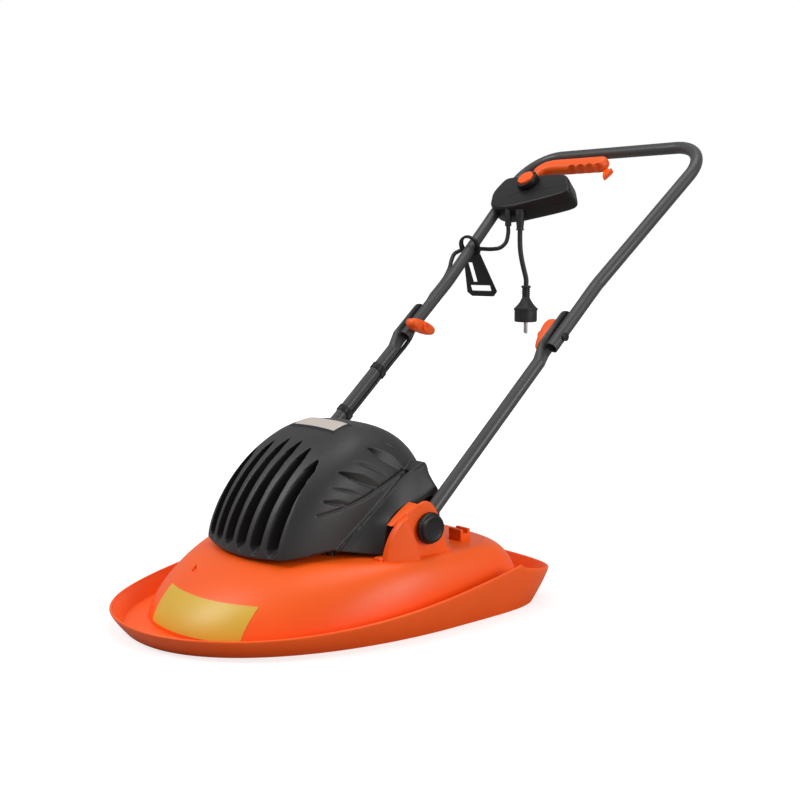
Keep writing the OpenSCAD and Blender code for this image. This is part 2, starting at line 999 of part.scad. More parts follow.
module lower_tube() {
    difference() {
        union() {
            translate([0, -tube_end, 0])
                rotate([-90, 0, 0])
                    cylinder(r = tube_r, h = tube_end + fold_s - crush_reach);
            hull() {
                translate([0, fold_s - crush_reach - slice, 0])
                    rotate([-90, 0, 0])
                        cylinder(r = tube_r, h = slice, $fn = 32);
                translate([-tube_r, fold_s - flat_reach, -tongue_w / 2])
                    cube([tongue_t, slice, tongue_w]);
            }
            slab_x(-tube_r, -tube_r + tongue_t) {
                translate([fold_s - flat_reach, -tongue_w / 2])
                    square([flat_reach + tongue_reach - tongue_w / 2, tongue_w]);
                translate([fold_s + tongue_reach - tongue_w / 2, 0])
                    circle(tongue_w / 2);
            }
        }
        translate([0, -tube_end - over, 0])
            rotate([-90, 0, 0])
                cylinder(r = bore_r, h = tube_end + fold_s - crush_reach);
        rod_x(bush_r + seat, -tube_d, tube_d);
        translate([0, fold_s, 0])
            rod_x(fold_bolt_r + seat, -tube_d, tube_d);
    }
}

module lower_tube_left() {
    color("dimgray")
        in_handle()
            translate([leg_half_x, 0, 0])
                lower_tube();
}

module lower_tube_right() {
    color("dimgray")
        in_handle()
            translate([-leg_half_x, 0, 0])
                lower_tube();
}

// Fold bolts and wing knobs: the knobs are on the inner side of both legs

fold_head_r = 6;
fold_head_h = 2.5;
wing_l = 54;
wing_w = 20;
wing_depth = 21;
wing_wall = 2.4;
wing_boss_r = 7.5;
wing_cap_h = 3;
wing_cap_r = 6.5;
wing_hole = 17;
wing_angle_left = 15;
wing_angle_right = -63;
// Outer faces that the left and right wing knobs press on
wing_face_left = leg_half_x - tube_r - gap;
wing_face_right = -leg_half_x + step_x + tube_r + gap;

module fold_bolts() {
    head_left = leg_half_x + step_x + tube_r + gap;
    head_right = -leg_half_x - tube_r;
    color("black")
        in_handle()
            translate([0, fold_s, 0]) {
                rod_x(fold_bolt_r, wing_face_left - wing_hole + gap, head_left + fold_head_h);
                rod_x(fold_head_r, head_left, head_left + fold_head_h);
                rod_x(fold_bolt_r, head_right - fold_head_h, wing_face_right + wing_hole - gap);
                rod_x(fold_head_r, head_right - fold_head_h, head_right);
            }
}

// Wing knob drawn with its open face at x = 0 and its wings along Y.
module wing_outline(l, w) {
    half = l / 2 - w / 2;
    translate([-half, -w / 2])
        square([2 * half, w]);
    for (y = [-half, half])
        translate([y, 0])
            circle(w / 2);
}

module wing_knob() {
    difference() {
        union() {
            difference() {
                slab_x(0, wing_depth)
                    wing_outline(wing_l, wing_w);
                slab_x(-over, wing_depth - wing_wall)
                    wing_outline(wing_l - 2 * wing_wall, wing_w - 2 * wing_wall);
            }
            rod_x(wing_boss_r, 0, wing_depth);
            rod_x(wing_cap_r, wing_depth, wing_depth + wing_cap_h);
        }
        rod_x(fold_bolt_r + run_fit, -over, wing_hole);
    }
}

module wing_knob_left() {
    color("orangered")
        in_handle()
            translate([wing_face_left, fold_s, 0])
                rotate([wing_angle_left, 0, 0])
                    mirror([1, 0, 0])
                        wing_knob();
}

module wing_knob_right() {
    color("orangered")
        in_handle()
            translate([wing_face_right, fold_s, 0])
                rotate([wing_angle_right, 0, 0])
                    wing_knob();
}

// Upper tube: one bent tube, legs splayed at the fold and round corners at the crossbar

splay_r = 90;
bend_ease = 0.1;
bend_lap = 2;
corner_turn = 90 + splay_angle;
corner_x = leg_half_x + bar_rise * tan(splay_angle);
corner_reach = corner_r * tan(corner_turn / 2);
splay_tangent = splay_r * tan(splay_angle / 2);
leg_start = fold_s - upper_tail;
arm_l = bar_rise / cos(splay_angle) - corner_reach - splay_tangent;

// Place and direction along the right leg, in the handle's plane, measured past the splay.
function leg_x(s) = -leg_half_x + step_x - (s - splay_s) * tan(splay_angle);

// Straight length of tube along Z.
module pipe(from, to) {
    translate([0, 0, from])
        difference() {
            cylinder(r = tube_r, h = to - from);
            translate([0, 0, -over])
                cylinder(r = bore_r, h = to - from + 2 * over);
        }
}

// Bent length of tube: its wall is a little thinner, and the straight lengths lap over its ends.
module bend(radius, angle) {
    rotate_extrude(angle = angle)
        translate([radius, 0])
            difference() {
                circle(tube_r - bend_ease);
                circle(bore_r + bend_ease);
            }
}

module upper_half() {
    translate([leg_half_x, 0, 0])
        rotate([-90, 0, 0])
            pipe(leg_start, splay_s - splay_tangent + bend_lap);
    translate([leg_half_x + splay_r, splay_s - splay_tangent, 0])
        rotate([0, 0, 180 - splay_angle])
            bend(splay_r, splay_angle);
    translate([leg_half_x, splay_s, 0])
        rotate([0, 0, -splay_angle])
            rotate([-90, 0, 0])
                pipe(splay_tangent - bend_lap, splay_tangent + arm_l + bend_lap);
    translate([corner_x - corner_reach, bar_s - corner_r, 0])
        rotate([0, 0, -splay_angle])
            bend(corner_r, corner_turn);
}

module upper_tube() {
    bar_half = corner_x - corner_reach + bend_lap;
    color("dimgray")
        in_handle()
            translate([step_x, 0, 0])
                difference() {
                    union() {
                        both_sides()
                            upper_half();
                        translate([0, bar_s, 0])
                            rotate([0, 90, 0])
                                pipe(-bar_half, bar_half);
                    }
                    both_sides()
                        translate([0, fold_s, 0])
                            rod_x(fold_bolt_r + run_fit, leg_half_x - tube_d, leg_half_x + tube_d);
                }
}

// Switch box, clamped on the right leg and reaching inboard under the corner

box_outline_shares = [[0.1, 0.09], [0, 0.5], [0.02, 0.93], [0.08, 0.98], [0.53, 1], [0.75, 0.98],
    [0.83, 0.88], [1, 0.45], [0.97, 0.37], [0.78, 0.26], [0.42, 0.04], [0.26, 0]];
// Sideways place of the box: how far its outer edge lies outside the leg at the splay
box_out = 40;
box_x = -leg_half_x + step_x - box_out;
box_s = bar_s - box_drop;
box_chamfer = 5;
box_chamfer_share = 0.93;
button_x_share = 0.4;
button_s_share = 0.72;
button_x = box_x + box_w * button_x_share;
button_s = box_s + box_l * button_s_share;
collar_w = 5;
collar_r = button_d / 2 + collar_w;
collar_h = 11;
button_stand = 4;
stem_r = 6;

module box_outline() {
    polygon([for (p = box_outline_shares) [box_x + box_w * p[0], box_s + box_l * p[1]]]);
}

// Outline drawn in by a wall, about the middle of the box.
module box_hollow() {
    translate([box_x + box_w / 2, box_s + box_l / 2])
        polygon([for (p = box_outline_shares)
            [(box_w - 4 * box_wall) * (p[0] - 0.5), (box_l - 4 * box_wall) * (p[1] - 0.5)]]);
}

// Straight rod along the right arm of the upper tube, for the seat that the box clamps on.
module arm_rod(r) {
    translate([step_x - leg_half_x, splay_s, 0])
        rotate([0, 0, splay_angle])
            rotate([-90, 0, 0])
                cylinder(r = r, h = bar_rise);
}

// Window in the upper wall where the lever comes out.
lever_neck_w = 34;
lever_neck_in = 24;
lever_neck_x = -leg_half_x + step_x + lever_neck_in;
lever_half_t = lever_t / 2;
lever_room = 2.2;
lever_rise = 2;

module lever_window() {
    translate([lever_neck_x - lever_neck_w / 2 - 2 * lever_room, box_s + box_l / 2,
        -lever_half_t + lever_rise - lever_room])
        cube([lever_neck_w + 4 * lever_room, box_l, lever_neck_t + 2 * lever_room]);
}

module box_posts() {
    for (p = box_screw_shares)
        translate([box_x + box_w * p[0], box_s + box_l * p[1], 0])
            children();
}

box_screw_shares = [[0.2, 0.2], [0.8, 0.42], [0.7, 0.86]];
box_post_r = 4.5;

module switch_box_top() {
    color("black")
        in_handle()
            difference() {
                union() {
                    difference() {
                        hull() {
                            linear_extrude(box_up - box_chamfer)
                                box_outline();
                            translate([box_x + box_w / 2, box_s + box_l / 2, box_up - slice])
                                linear_extrude(slice)
                                    scale(box_chamfer_share)
                                        translate([-box_x - box_w / 2, -box_s - box_l / 2])
                                            box_outline();
                        }
                        translate([0, 0, -over])
                            linear_extrude(box_up - box_wall + over)
                                box_hollow();
                    }
                    box_posts()
                        cylinder(r = box_post_r, h = box_up - box_wall);
                }
                arm_rod(tube_r + seat);
                lever_window();
                box_posts()
                    translate([0, 0, -over])
                        cylinder(r = screw_r + seat, h = box_up / 2 + over);
                translate([button_x, button_s, 0])
                    cylinder(r = stem_r + gap, h = box_up + over);
                lever_pin_place()
                    cylinder(r = lever_pin_r + seat, h = box_up - box_wall);
            }
}

module switch_box_base() {
    color("black")
        in_handle()
            difference() {
                union() {
                    difference() {
                        translate([0, 0, -box_down])
                            linear_extrude(box_down - seat)
                                box_outline();
                        translate([0, 0, -box_down + box_wall])
                            linear_extrude(box_down)
                                box_hollow();
                    }
                    translate([0, 0, -box_down])
                        box_posts()
                            cylinder(r = box_post_r, h = box_down - seat);
                }
                arm_rod(tube_r + seat);
                lever_window();
                translate([0, 0, -box_down - over])
                    box_posts()
                        cylinder(r = screw_r + seat, h = box_down + 2 * over);
                lever_pin_place()
                    translate([0, 0, -box_down + box_wall / 2])
                        cylinder(r = lever_pin_r + seat, h = box_down);
            }
}

module box_screws() {
    color("silver")
        in_handle()
            box_posts()
                translate([0, 0, box_up / 2 - over])
                    mirror([0, 0, 1])
                        screw(box_down + box_up / 2 - over);
}

// Start lever: a bar along the crossbar that turns on a pin inside the box

lever_pin_r = 2.5;
lever_hub_r = 8;
lever_neck_t = 15;
lever_bar_w = 24;
lever_back_gap = 13;
lever_tip_x = -2;
lever_grip_r = 11;
lever_grip_depth = 4;
lever_grip_pitch = 19;
lever_grip_count = 4;
lever_pin_drop = 20;
leaf_l = 32;
leaf_w = 13;
leaf_x = 13;
lug_l = 16;
lug_w = 5;

bend_x = -(corner_x - corner_reach) + step_x;
bend_s = bar_s - corner_r;
lever_back = bar_s - tube_r - lever_back_gap;
lever_back_r = lever_back - bend_s;

module lever_pin_place() {
    translate([lever_neck_x - lever_neck_w / 4, box_s + box_l - lever_pin_drop, 0])
        children();
}

module lever_outline() {
    front = lever_back - lever_bar_w;
    difference() {
        union() {
            polygon(concat(
                [for (a = [90 : 10 : 180])
                    [bend_x + lever_back_r * cos(a), bend_s + lever_back_r * sin(a)]],
                [[lever_neck_x - lever_neck_w / 2, bend_s],
                    [lever_neck_x - lever_neck_w / 2, box_s + box_l - lever_pin_drop],
                    [lever_neck_x + lever_neck_w / 2 + lug_l, box_s + box_l - lever_pin_drop],
                    [lever_neck_x + lever_neck_w / 2 + lug_l, box_s + box_l - lever_pin_drop + lug_w],
                    [lever_neck_x + lever_neck_w / 2, box_s + box_l - lever_pin_drop + lug_w],
                    [lever_neck_x + lever_neck_w / 2, box_s + box_l],
                    [bend_x + lever_neck_w / 2, front], [lever_tip_x, front], [lever_tip_x, lever_back]]));
            translate([lever_tip_x, (front + lever_back) / 2])
                circle(lever_bar_w / 2);
        }
        for (k = [0 : lever_grip_count - 1])
            translate([lever_tip_x - k * lever_grip_pitch, front - lever_grip_r + lever_grip_depth])
                circle(lever_grip_r);
    }
}

module start_lever() {
    z0 = -lever_half_t + lever_rise;
    color("orangered")
        in_handle()
            difference() {
                union() {
                    translate([0, 0, z0])
                        linear_extrude(lever_neck_t)
                            lever_outline();
                    translate([0, 0, z0])
                        linear_extrude(lever_t)
                            intersection() {
                                lever_outline();
                                translate([bend_x - box_w, box_s + box_l + 3 * lever_room])
                                    square([2 * box_w, box_l]);
                            }
                    lever_pin_place()
                        translate([0, 0, z0])
                            cylinder(r = lever_hub_r, h = lever_neck_t);
                    translate([leaf_x, lever_back - lever_bar_w, z0])
                        linear_extrude(lever_neck_t / 2)
                            polygon([[-leaf_w / 2, leaf_l / 4], [0, -leaf_l / 2], [leaf_w / 2, 0],
                                [leaf_w / 3, leaf_l / 2], [-leaf_w / 3, leaf_l / 2]]);
                }
                lever_pin_place()
                    translate([0, 0, -lever_t])
                        cylinder(r = lever_pin_r + run_fit, h = 2 * lever_t);
            }
}

module lever_pin() {
    color("silver")
        in_handle()
            lever_pin_place()
                translate([0, 0, -box_down + box_wall])
                    cylinder(r = lever_pin_r, h = box_down + box_up - 2 * box_wall - 2 * seat);
}

spring_r = 3;
spring_clear = 2;
spring_in_r = 2;

// Coil of the lever's return spring, between the lever's lug and the upper wall of the box
module lever_spring() {
    from = box_s + box_l - lever_pin_drop + lug_w + seat;
    to = box_s + box_l - 2 * box_wall - spring_clear;
    color("silver")
        in_handle()
            translate([lever_neck_x + lever_neck_w / 2 + lug_l / 2 + spring_r, from, 0])
                rotate([-90, 0, 0])
                    difference() {
                        cylinder(r = spring_r, h = to - from);
                        translate([0, 0, -over])
                            cylinder(r = spring_in_r, h = to - from + 2 * over);
                    }
}

module button_collar() {
    color("black")
        in_handle()
            translate([button_x, button_s, box_up + seat])
                difference() {
                    cylinder(r = collar_r, h = collar_h);
                    translate([0, 0, -over])
                        cylinder(r = button_d / 2 + gap, h = collar_h + 2 * over);
                }
}

button_cap_t = 5;

module lock_button() {
    top = collar_h + button_stand;
    color("orangered")
        in_handle()
            translate([button_x, button_s, box_up]) {
                translate([0, 0, top - button_cap_t])
                    cylinder(d = button_d, h = button_cap_t);
                translate([0, 0, -box_wall])
                    cylinder(r = stem_r, h = top + box_wall - over);
            }
}

module button_spring() {
    color("silver")
        in_handle()
            translate([button_x, button_s, box_up + seat])
                difference() {
                    cylinder(r = stem_r + gap + spring_r,
                        h = collar_h + button_stand - button_cap_t - 2 * seat);
                    translate([0, 0, -over])
                        cylinder(r = stem_r + gap, h = collar_h + 2 * over);
                }
}

switch_l = 28;
switch_w = 10;
switch_h = 16;

module microswitch() {
    color("darkslategray")
        in_handle()
            translate([lever_neck_x + lever_neck_w, box_s + box_l / 2, -box_down + box_wall])
                cube([switch_l, switch_w, switch_h]);
}

// Cords: round tubes swept along routes of hand-chosen points

function unit(v) = v / norm(v);
function along(p, i) = unit(p[min(i + 1, len(p) - 1)] - p[max(i - 1, 0)]);
// Side directions carried along a route without twisting.
function sides(p, u0) = [
    for (i = 0, u = unit(u0 - along(p, 0) * (u0 * along(p, 0)));
        i < len(p);
        i = i + 1,
        t = along(p, min(i, len(p) - 1)),
        u = unit(u - t * (u * t)))
        u
];

cord_sides = 10;

module cord(p, r, u0) {
    u = sides(p, u0);
    n = cord_sides;
    m = len(p);
    rings = [
        for (i = [0 : m - 1])
            let (t = along(p, i), v = cross(t, u[i]))
            for (k = [0 : n - 1])
                p[i] + r * (u[i] * cos(k * 360 / n) + v * sin(k * 360 / n))
    ];
    walls = [
        for (i = [0 : m - 2])
            for (k = [0 : n - 1])
                let (a = i * n + k, b = i * n + (k + 1) % n)
                each [[a, a + n, b], [b, a + n, b + n]]
    ];
    ends = [
        for (k = [1 : n - 2])
            each [[0, k, k + 1], [(m - 1) * n, (m - 1) * n + k + 1, (m - 1) * n + k]]
    ];
    polyhedron(rings, concat(walls, ends));
}

// Place in the part's frame of a point in the handle's plane
function handle_place(p) = [
    p[0],
    pivot_y - mid_y + p[1] * cos(handle_angle) - p[2] * sin(handle_angle),
    pivot_z + p[1] * sin(handle_angle) + p[2] * cos(handle_angle)
];

// Mains lead: where it leaves the strain relief under the box, and its way down to the plug
lead_across = 83.1;
lead_back = 14.3;
lead_under = 1.6;
lead_top = handle_place([box_x + lead_across, box_s - lead_back, -box_down - lead_under]);
lead_steps = [[0, 0, 0], [0, 0, -14], [1, 0, -30], [3, 1, -46], [6, 3, -62], [9, 5, -76], [10, 6, -84],
    [10, 6, -93]];
lead_route = [for (d = lead_steps) lead_top + d];

// Motor cable: gap to the tube, its way past the fold from the middle of the fold bolt, and its lower end
cable_gap = 1;
cable_end_s = 137;
cable_n = -tube_r - cable_d / 2 - cable_gap;
fold_steps = [[-10, 78, 0], [-10, 71, 0], [-12, 62, -3], [-15, 46, -8], [-16, 28, -13], [-14, 10, -17],
    [-10, -10, -20], [-5, -30, -18], [-1, -48, -15], [0, -64, cable_n], [0, -78, cable_n]];
fold_route = [for (d = fold_steps) [d[0] - leg_half_x, fold_s + d[1], d[2]]];
fold_end = fold_route[len(fold_route) - 1];
lower_route = [fold_end - [0, seat, 0], [fold_end[0], cable_end_s, cable_n]];

// Motor cable on the upper handle: shares of the way from the splay to the box, and steps off the leg
upper_shares = [0.915, 0.866, 0.793, 0.726, 0.677, 0.64, 0.598, 0.543, 0.476, 0.402, 0.305, 0.207, 0.098,
    -0.012];
upper_steps = [[21.1, 0, -12], [21.1, 0, -21], [19.1, 0, -30], [11.1, 0, -33], [-0.9, 0, -29],
    [-13.9, 0, -23], [-26.9, 0, -16], [-35.9, 0, -9], [-39.4, 0, -4], [-38.4, 0, 0], [-32.4, 0, 0],
    [-23.4, 0, 0], [-16.9, 0, 0], [-13.9, 0, 0]];
upper_route = concat(
    [for (i = [0 : len(upper_shares) - 1])
        [step_x - leg_half_x, splay_s + (box_s - splay_s) * upper_shares[i], 0] + upper_steps[i]],
    [fold_route[0] + [0, seat, 0]]);

// Motor cable from the lower tube to the gland: share of the straight way, and bow away from it
gland_x = -69;
gland_y = 182;
gland_z = 125;
tilt_from = handle_place([-leg_half_x, cable_end_s - seat, cable_n]);
tilt_to = [gland_x, gland_y - mid_y, gland_z];
tilt_lead = 9;
tilt_shares = [0.15, 0.3, 0.45, 0.6, 0.73, 0.85, 0.94];
tilt_bows = [[-10.5, -11.4, -7.4], [-16, -9.7, -9.8], [-17.5, -2, -13.2], [-14, 7.6, -13.1],
    [-8.7, 15.4, -11.2], [-3.5, 18.3, -7.6], [0.4, 15.5, -4]];
tilt_route = concat(
    [tilt_from, tilt_from - tilt_lead * [0, cos(handle_angle), sin(handle_angle)]],
    [for (i = [0 : len(tilt_shares) - 1]) tilt_from + (tilt_to - tilt_from) * tilt_shares[i] + tilt_bows[i]],
    [tilt_to + [0, tilt_lead, 0], tilt_to]);

module mains_lead() {
    color("black")
        cord(lead_route, lead_d / 2, [1, 0, 0]);
}

module motor_cable_upper() {
    color("black")
        in_handle()
            cord(upper_route, cable_d / 2, [1, 0, 0]);
}

module motor_cable_fold() {
    color("black")
        in_handle()
            cord(fold_route, cable_d / 2, [1, 0, 0]);
}

module motor_cable_lower() {
    color("black")
        in_handle()
            cord(lower_route, cable_d / 2, [1, 0, 0]);
}

module motor_cable_tilt() {
    color("black")
        cord(tilt_route, cable_d / 2, [1, 0, 0]);
}

// Clips that hold the cable to the lower right tube
clip_t = 1.6;
clip_l = 10;
clip_places = [158, 250];

module cable_clips() {
    color("black")
        in_handle()
            for (s = clip_places)
                translate([-leg_half_x, s, 0])
                    rotate([-90, 0, 0])
                        difference() {
                            union() {
                                cylinder(r = tube_r + clip_t, h = clip_l);
                                translate([0, -cable_n, 0])
                                    cylinder(r = cable_d / 2 + clip_t, h = clip_l);
                            }
                            translate([0, 0, -over])
                                cylinder(r = tube_r + seat, h = clip_l + 2 * over);
                            translate([0, -cable_n, -over])
                                cylinder(r = cable_d / 2 + seat, h = clip_l + 2 * over);
                        }
}

// Strain relief and cable outlet under the switch box, cut to the wall that they leave

relief_top_r = 8.5;
relief_end_r = 5.6;
relief_flange_r = 6.6;
relief_flange_h = 3;
relief_l = 27;
outlet_r = 5.5;
outlet_l = 34;

module cut_to_box() {
    difference() {
        children();
        in_handle()
            translate([0, 0, -2 * box_down])
                linear_extrude(2 * box_down + 2 * box_up)
                    box_outline();
    }
}

module lead_relief() {
    color("black")
        cut_to_box()
            translate(lead_route[0]) {
                cylinder(r1 = relief_end_r, r2 = relief_top_r, h = relief_l + relief_top_r);
                cylinder(r = relief_flange_r, h = relief_flange_h);
            }
}

module cable_outlet() {
    color("black")
        cut_to_box()
            in_handle()
                translate(upper_route[0])
                    rotate([-handle_angle, 0, 0])
                        cylinder(r = outlet_r, h = outlet_l);
}

// Mains plug on the end of the lead

plug_flange_r = 8;
plug_flange_h = 4;
plug_neck_r = 6.6;
plug_neck_l = 20;
plug_cone_l = 18;
plug_swell_share = 0.6;
plug_swell_l_share = 0.62;
plug_rim_r = 20.4;
plug_rim_h = 4;
plug_r = 19.3;
plug_l = 62;
pin_r = 2.4;
pin_l = 19;
pin_half_x = 9.5;
pin_turn = -40.6;

module mains_plug() {
    color("black")
        translate(lead_route[len(lead_route) - 1])
            mirror([0, 0, 1])
                difference() {
                    rotate_extrude()
                        polygon([[0, 0], [plug_flange_r, 0], [plug_flange_r, plug_flange_h],
                            [plug_neck_r, plug_flange_h], [plug_neck_r, plug_neck_l],
                            [plug_r * plug_swell_share, plug_neck_l + plug_cone_l * plug_swell_l_share],
                            [plug_r, plug_neck_l + plug_cone_l], [plug_rim_r, plug_neck_l + plug_cone_l],
                            [plug_rim_r, plug_neck_l + plug_cone_l + plug_rim_h],
                            [plug_r, plug_neck_l + plug_cone_l + plug_rim_h], [plug_r, plug_l],
                            [0, plug_l]]);
                    at_pins()
                        translate([0, 0, plug_l - pin_l])
                            cylinder(r = pin_r + seat, h = pin_l + over);
                }
}

module at_pins() {
    for (k = [-1, 1])
        rotate([0, 0, pin_turn])
            translate([k * pin_half_x, 0, 0])
                children();
}

module plug_pins() {
    color("silver")
        translate(lead_route[len(lead_route) - 1])
            mirror([0, 0, 1])
                at_pins()
                    translate([0, 0, plug_l - pin_l])
                        cylinder(r = pin_r, h = 2 * pin_l);
}

// Gland where the motor cable enters the rear of the cover

gland_r = 6.5;
gland_l = 24;

module cable_gland() {
    color("black")
        difference() {
            translate(tilt_to - [0, seat, 0])
                rotate([90, 0, 0])
                    cylinder(r = gland_r, h = gland_l);
            in_frame()
                cover_form(-seat);
        }
}

// Cable hook: a plate that hangs on the right leg

hook_share = 0.482;
hook_s = splay_s + (box_s - splay_s) * hook_share;
hook_t = 4;
hook_ring_r = 21;
hook_eye_r = 13;
hook_eye_lift = 8;
hook_clear = 0.4;
hook_lean = -17;
hook_swing = 5.5;
hook_top_half = 15;
hook_foot_half = 31;
hook_l = 88;
hook_neck = 8;
hook_slot_w = 11;
hook_slot_x = -8;
hook_slot_top = 24;
hook_slot_end = 62;
hook_bar_w = 44;
hook_bar_top = 67;
hook_bar_end = 79;

module hook_plate() {
    difference() {
        union() {
            translate([0, hook_eye_lift / 2])
                circle(hook_ring_r);
            polygon([[-hook_top_half, 0], [-hook_foot_half, -hook_l + hook_neck],
                [-hook_foot_half + hook_neck, -hook_l],
                [hook_foot_half - hook_neck, -hook_l], [hook_foot_half, -hook_l + hook_neck],
                [hook_top_half, 0]]);
        }
        translate([0, hook_eye_lift])
            circle(hook_eye_r);
        translate([hook_slot_x - hook_slot_w / 2, -hook_slot_end])
            square([hook_slot_w, hook_slot_end - hook_slot_top]);
        translate([-hook_bar_w / 2, -hook_bar_end])
            square([hook_bar_w, hook_bar_end - hook_bar_top]);
    }
}

module cable_hook() {
    color("black")
        in_handle()
            translate([leg_x(hook_s), hook_s, 0])
                rotate([0, 0, splay_angle])
                    difference() {
                        rotate([0, hook_swing, 0])
                            rotate([90 + hook_lean, 0, 0])
                                translate([0, 0, -hook_t / 2])
                                    linear_extrude(hook_t)
                                        hook_plate();
                        translate([0, -hook_l, 0])
                            rotate([-90, 0, 0])
                                cylinder(r = tube_r + hook_clear, h = 2 * hook_l);
                    }
}

deck_shell();
motor_cover();
cover_screws();
motor_plate();
plate_screws();
stator_core();
field_coils();
brush_bracket();
brush_holders();
carbon_brushes();
lower_bearing();
upper_bearing();
motor_bolts();
cable_gland();
pivot_bolts();
motor_shaft();
armature_core();
armature_coils();
commutator();
impeller();
height_spacers();
cutting_blade();
blade_washer();
blade_bolt();
lower_tube_left();
lower_tube_right();
pivot_bushes();
fold_bolts();
motor_cable_lower();
cable_clips();
upper_tube();
switch_box_top();
switch_box_base();
box_screws();
microswitch();
button_collar();
lead_relief();
mains_lead();
mains_plug();
plug_pins();
motor_cable_upper();
cable_outlet();
lever_spring();
button_spring();
lever_pin();
start_lever();
lock_button();
cable_hook();
wing_knob_left();
wing_knob_right();
pivot_knob_left();
pivot_knob_right();
motor_cable_fold();
motor_cable_tilt();
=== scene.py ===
"""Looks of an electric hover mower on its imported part."""

import math

import bmesh
import bpy
import numpy as np
from mathutils import Matrix, Vector


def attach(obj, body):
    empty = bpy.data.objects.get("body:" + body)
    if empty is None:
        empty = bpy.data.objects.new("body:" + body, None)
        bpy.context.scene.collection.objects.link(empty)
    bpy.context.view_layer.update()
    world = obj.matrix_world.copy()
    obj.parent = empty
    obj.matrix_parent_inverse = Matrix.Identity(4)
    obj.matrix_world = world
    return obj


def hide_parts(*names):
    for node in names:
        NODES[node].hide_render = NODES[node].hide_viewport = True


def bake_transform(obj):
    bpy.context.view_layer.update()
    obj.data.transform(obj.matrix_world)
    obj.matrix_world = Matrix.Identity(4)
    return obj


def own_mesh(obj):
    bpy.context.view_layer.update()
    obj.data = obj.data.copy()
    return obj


bl_info = {
    "name": "Hover Mower",
    "version": (1, 0, 0),
    "blender": (4, 5, 0),
    "location": "View3D > Sidebar > Mower",
    "description": "Builds the looks of an electric hover mower on its packed part",
    "category": "Object",
}

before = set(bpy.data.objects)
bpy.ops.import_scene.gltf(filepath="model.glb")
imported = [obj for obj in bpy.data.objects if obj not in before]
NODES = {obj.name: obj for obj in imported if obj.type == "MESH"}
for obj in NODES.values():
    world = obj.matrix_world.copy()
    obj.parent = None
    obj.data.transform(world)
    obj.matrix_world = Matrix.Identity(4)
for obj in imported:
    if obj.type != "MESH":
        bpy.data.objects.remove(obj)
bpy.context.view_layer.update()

# Sizes in mm; along the handle from its pivot, places end in S

MM = 0.001
SPINDLE_Y = -192.987
PIVOT_Y, PIVOT_Z, PIVOT_BEHIND = -117.987, 127.0, 75
RUN, RISE = 0.739631, 0.673013
LEG_X, STEP_X, TUBE_R = 159.0, 3.9, 9.5
FOLD_S, SPLAY_S, BAR_S, SPLAY = 352.0, 458.0, 774.0, math.radians(6.1)
BOX_X, BOX_S, BOX_W, BOX_L = -LEG_X + STEP_X - 40, BAR_S - 152, 186, 85
BUTTON_X, BUTTON_S = BOX_X + BOX_W * 0.4, BOX_S + BOX_L * 0.72


# Places


def from_deck(points):
    """Points about the spindle, in mm, as places in metres."""
    return (np.asarray(points, float).reshape(-1, 3) + (0, SPINDLE_Y, 0)) * MM


def from_handle(points):
    """Points in the handle's plane (across, along, above), in mm, as places in metres."""
    x, s, n = np.asarray(points, float).reshape(-1, 3).T
    return np.stack([x, PIVOT_Y + RUN * s - RISE * n, PIVOT_Z + RISE * s + RUN * n], 1) * MM


def from_part(points):
    """Points of the part, in mm, as places in metres."""
    return np.asarray(points, float).reshape(-1, 3) * MM


def smooth_path(points, steps=10):
    """A round line through the points."""
    p = np.asarray(points, float)
    p = np.vstack([2 * p[0] - p[1], p, 2 * p[-1] - p[-2]])
    line = []
    for i in range(1, len(p) - 2):
        a, b, c, d = p[i - 1], p[i], p[i + 1], p[i + 2]
        bend, twist = 2 * a - 5 * b + 4 * c - d, 3 * b - a - 3 * c + d
        for t in np.arange(steps) / steps:
            line.append(0.5 * (2 * b + (c - a) * t + bend * t * t + twist * t**3))
    return np.array(line + [p[-2]])


def turns(count):
    """Even angles round a full turn."""
    return np.arange(count) / count * 2 * math.pi


def circle(radius, steps=48, centre=(0, 0)):
    turn = turns(steps)
    return np.stack([centre[0] + radius * np.cos(turn), centre[1] + radius * np.sin(turn)], 1)


def rounded(outline, radius, steps=6):
    """A flat outline with its corners rounded."""
    p = np.asarray(outline, float)
    made = []
    for i in range(len(p)):
        a, b, c = p[i - 1], p[i], p[(i + 1) % len(p)]
        before, after = a - b, c - b
        reach_a = min(radius, np.linalg.norm(before) * 0.48)
        reach_c = min(radius, np.linalg.norm(after) * 0.48)
        a = b + before / np.linalg.norm(before) * reach_a
        c = b + after / np.linalg.norm(after) * reach_c
        for t in np.linspace(0, 1, steps):
            made.append((1 - t) ** 2 * a + 2 * t * (1 - t) * b + t * t * c)
    return np.array(made)


# Meshes


def make(name, points, faces):
    """A mesh object with its faces turned outwards."""
    mesh = bpy.data.meshes.new(name)
    mesh.from_pydata([tuple(p) for p in points], [], faces)
    bm = bmesh.new()
    bm.from_mesh(mesh)
    bmesh.ops.remove_doubles(bm, verts=bm.verts, dist=1e-6)
    bmesh.ops.recalc_face_normals(bm, faces=bm.faces)
    bm.to_mesh(mesh)
    bm.free()
    piece = bpy.data.objects.new(name, mesh)
    bpy.context.scene.collection.objects.link(piece)
    return piece


def on_deck(name, form):
    """A mesh object of a form given about the spindle."""
    points, faces = form
    return make(name, from_deck(points), faces)


def on_handle(name, form):
    """A mesh object of a form given in the handle's plane."""
    points, faces = form
    return make(name, from_handle(points), faces)


def grid_faces(rows, columns):
    """Faces of a sheet of points in rows."""
    starts = [i * columns + j for i in range(rows - 1) for j in range(columns - 1)]
    return [(a, a + 1, a + columns + 1, a + columns) for a in starts]


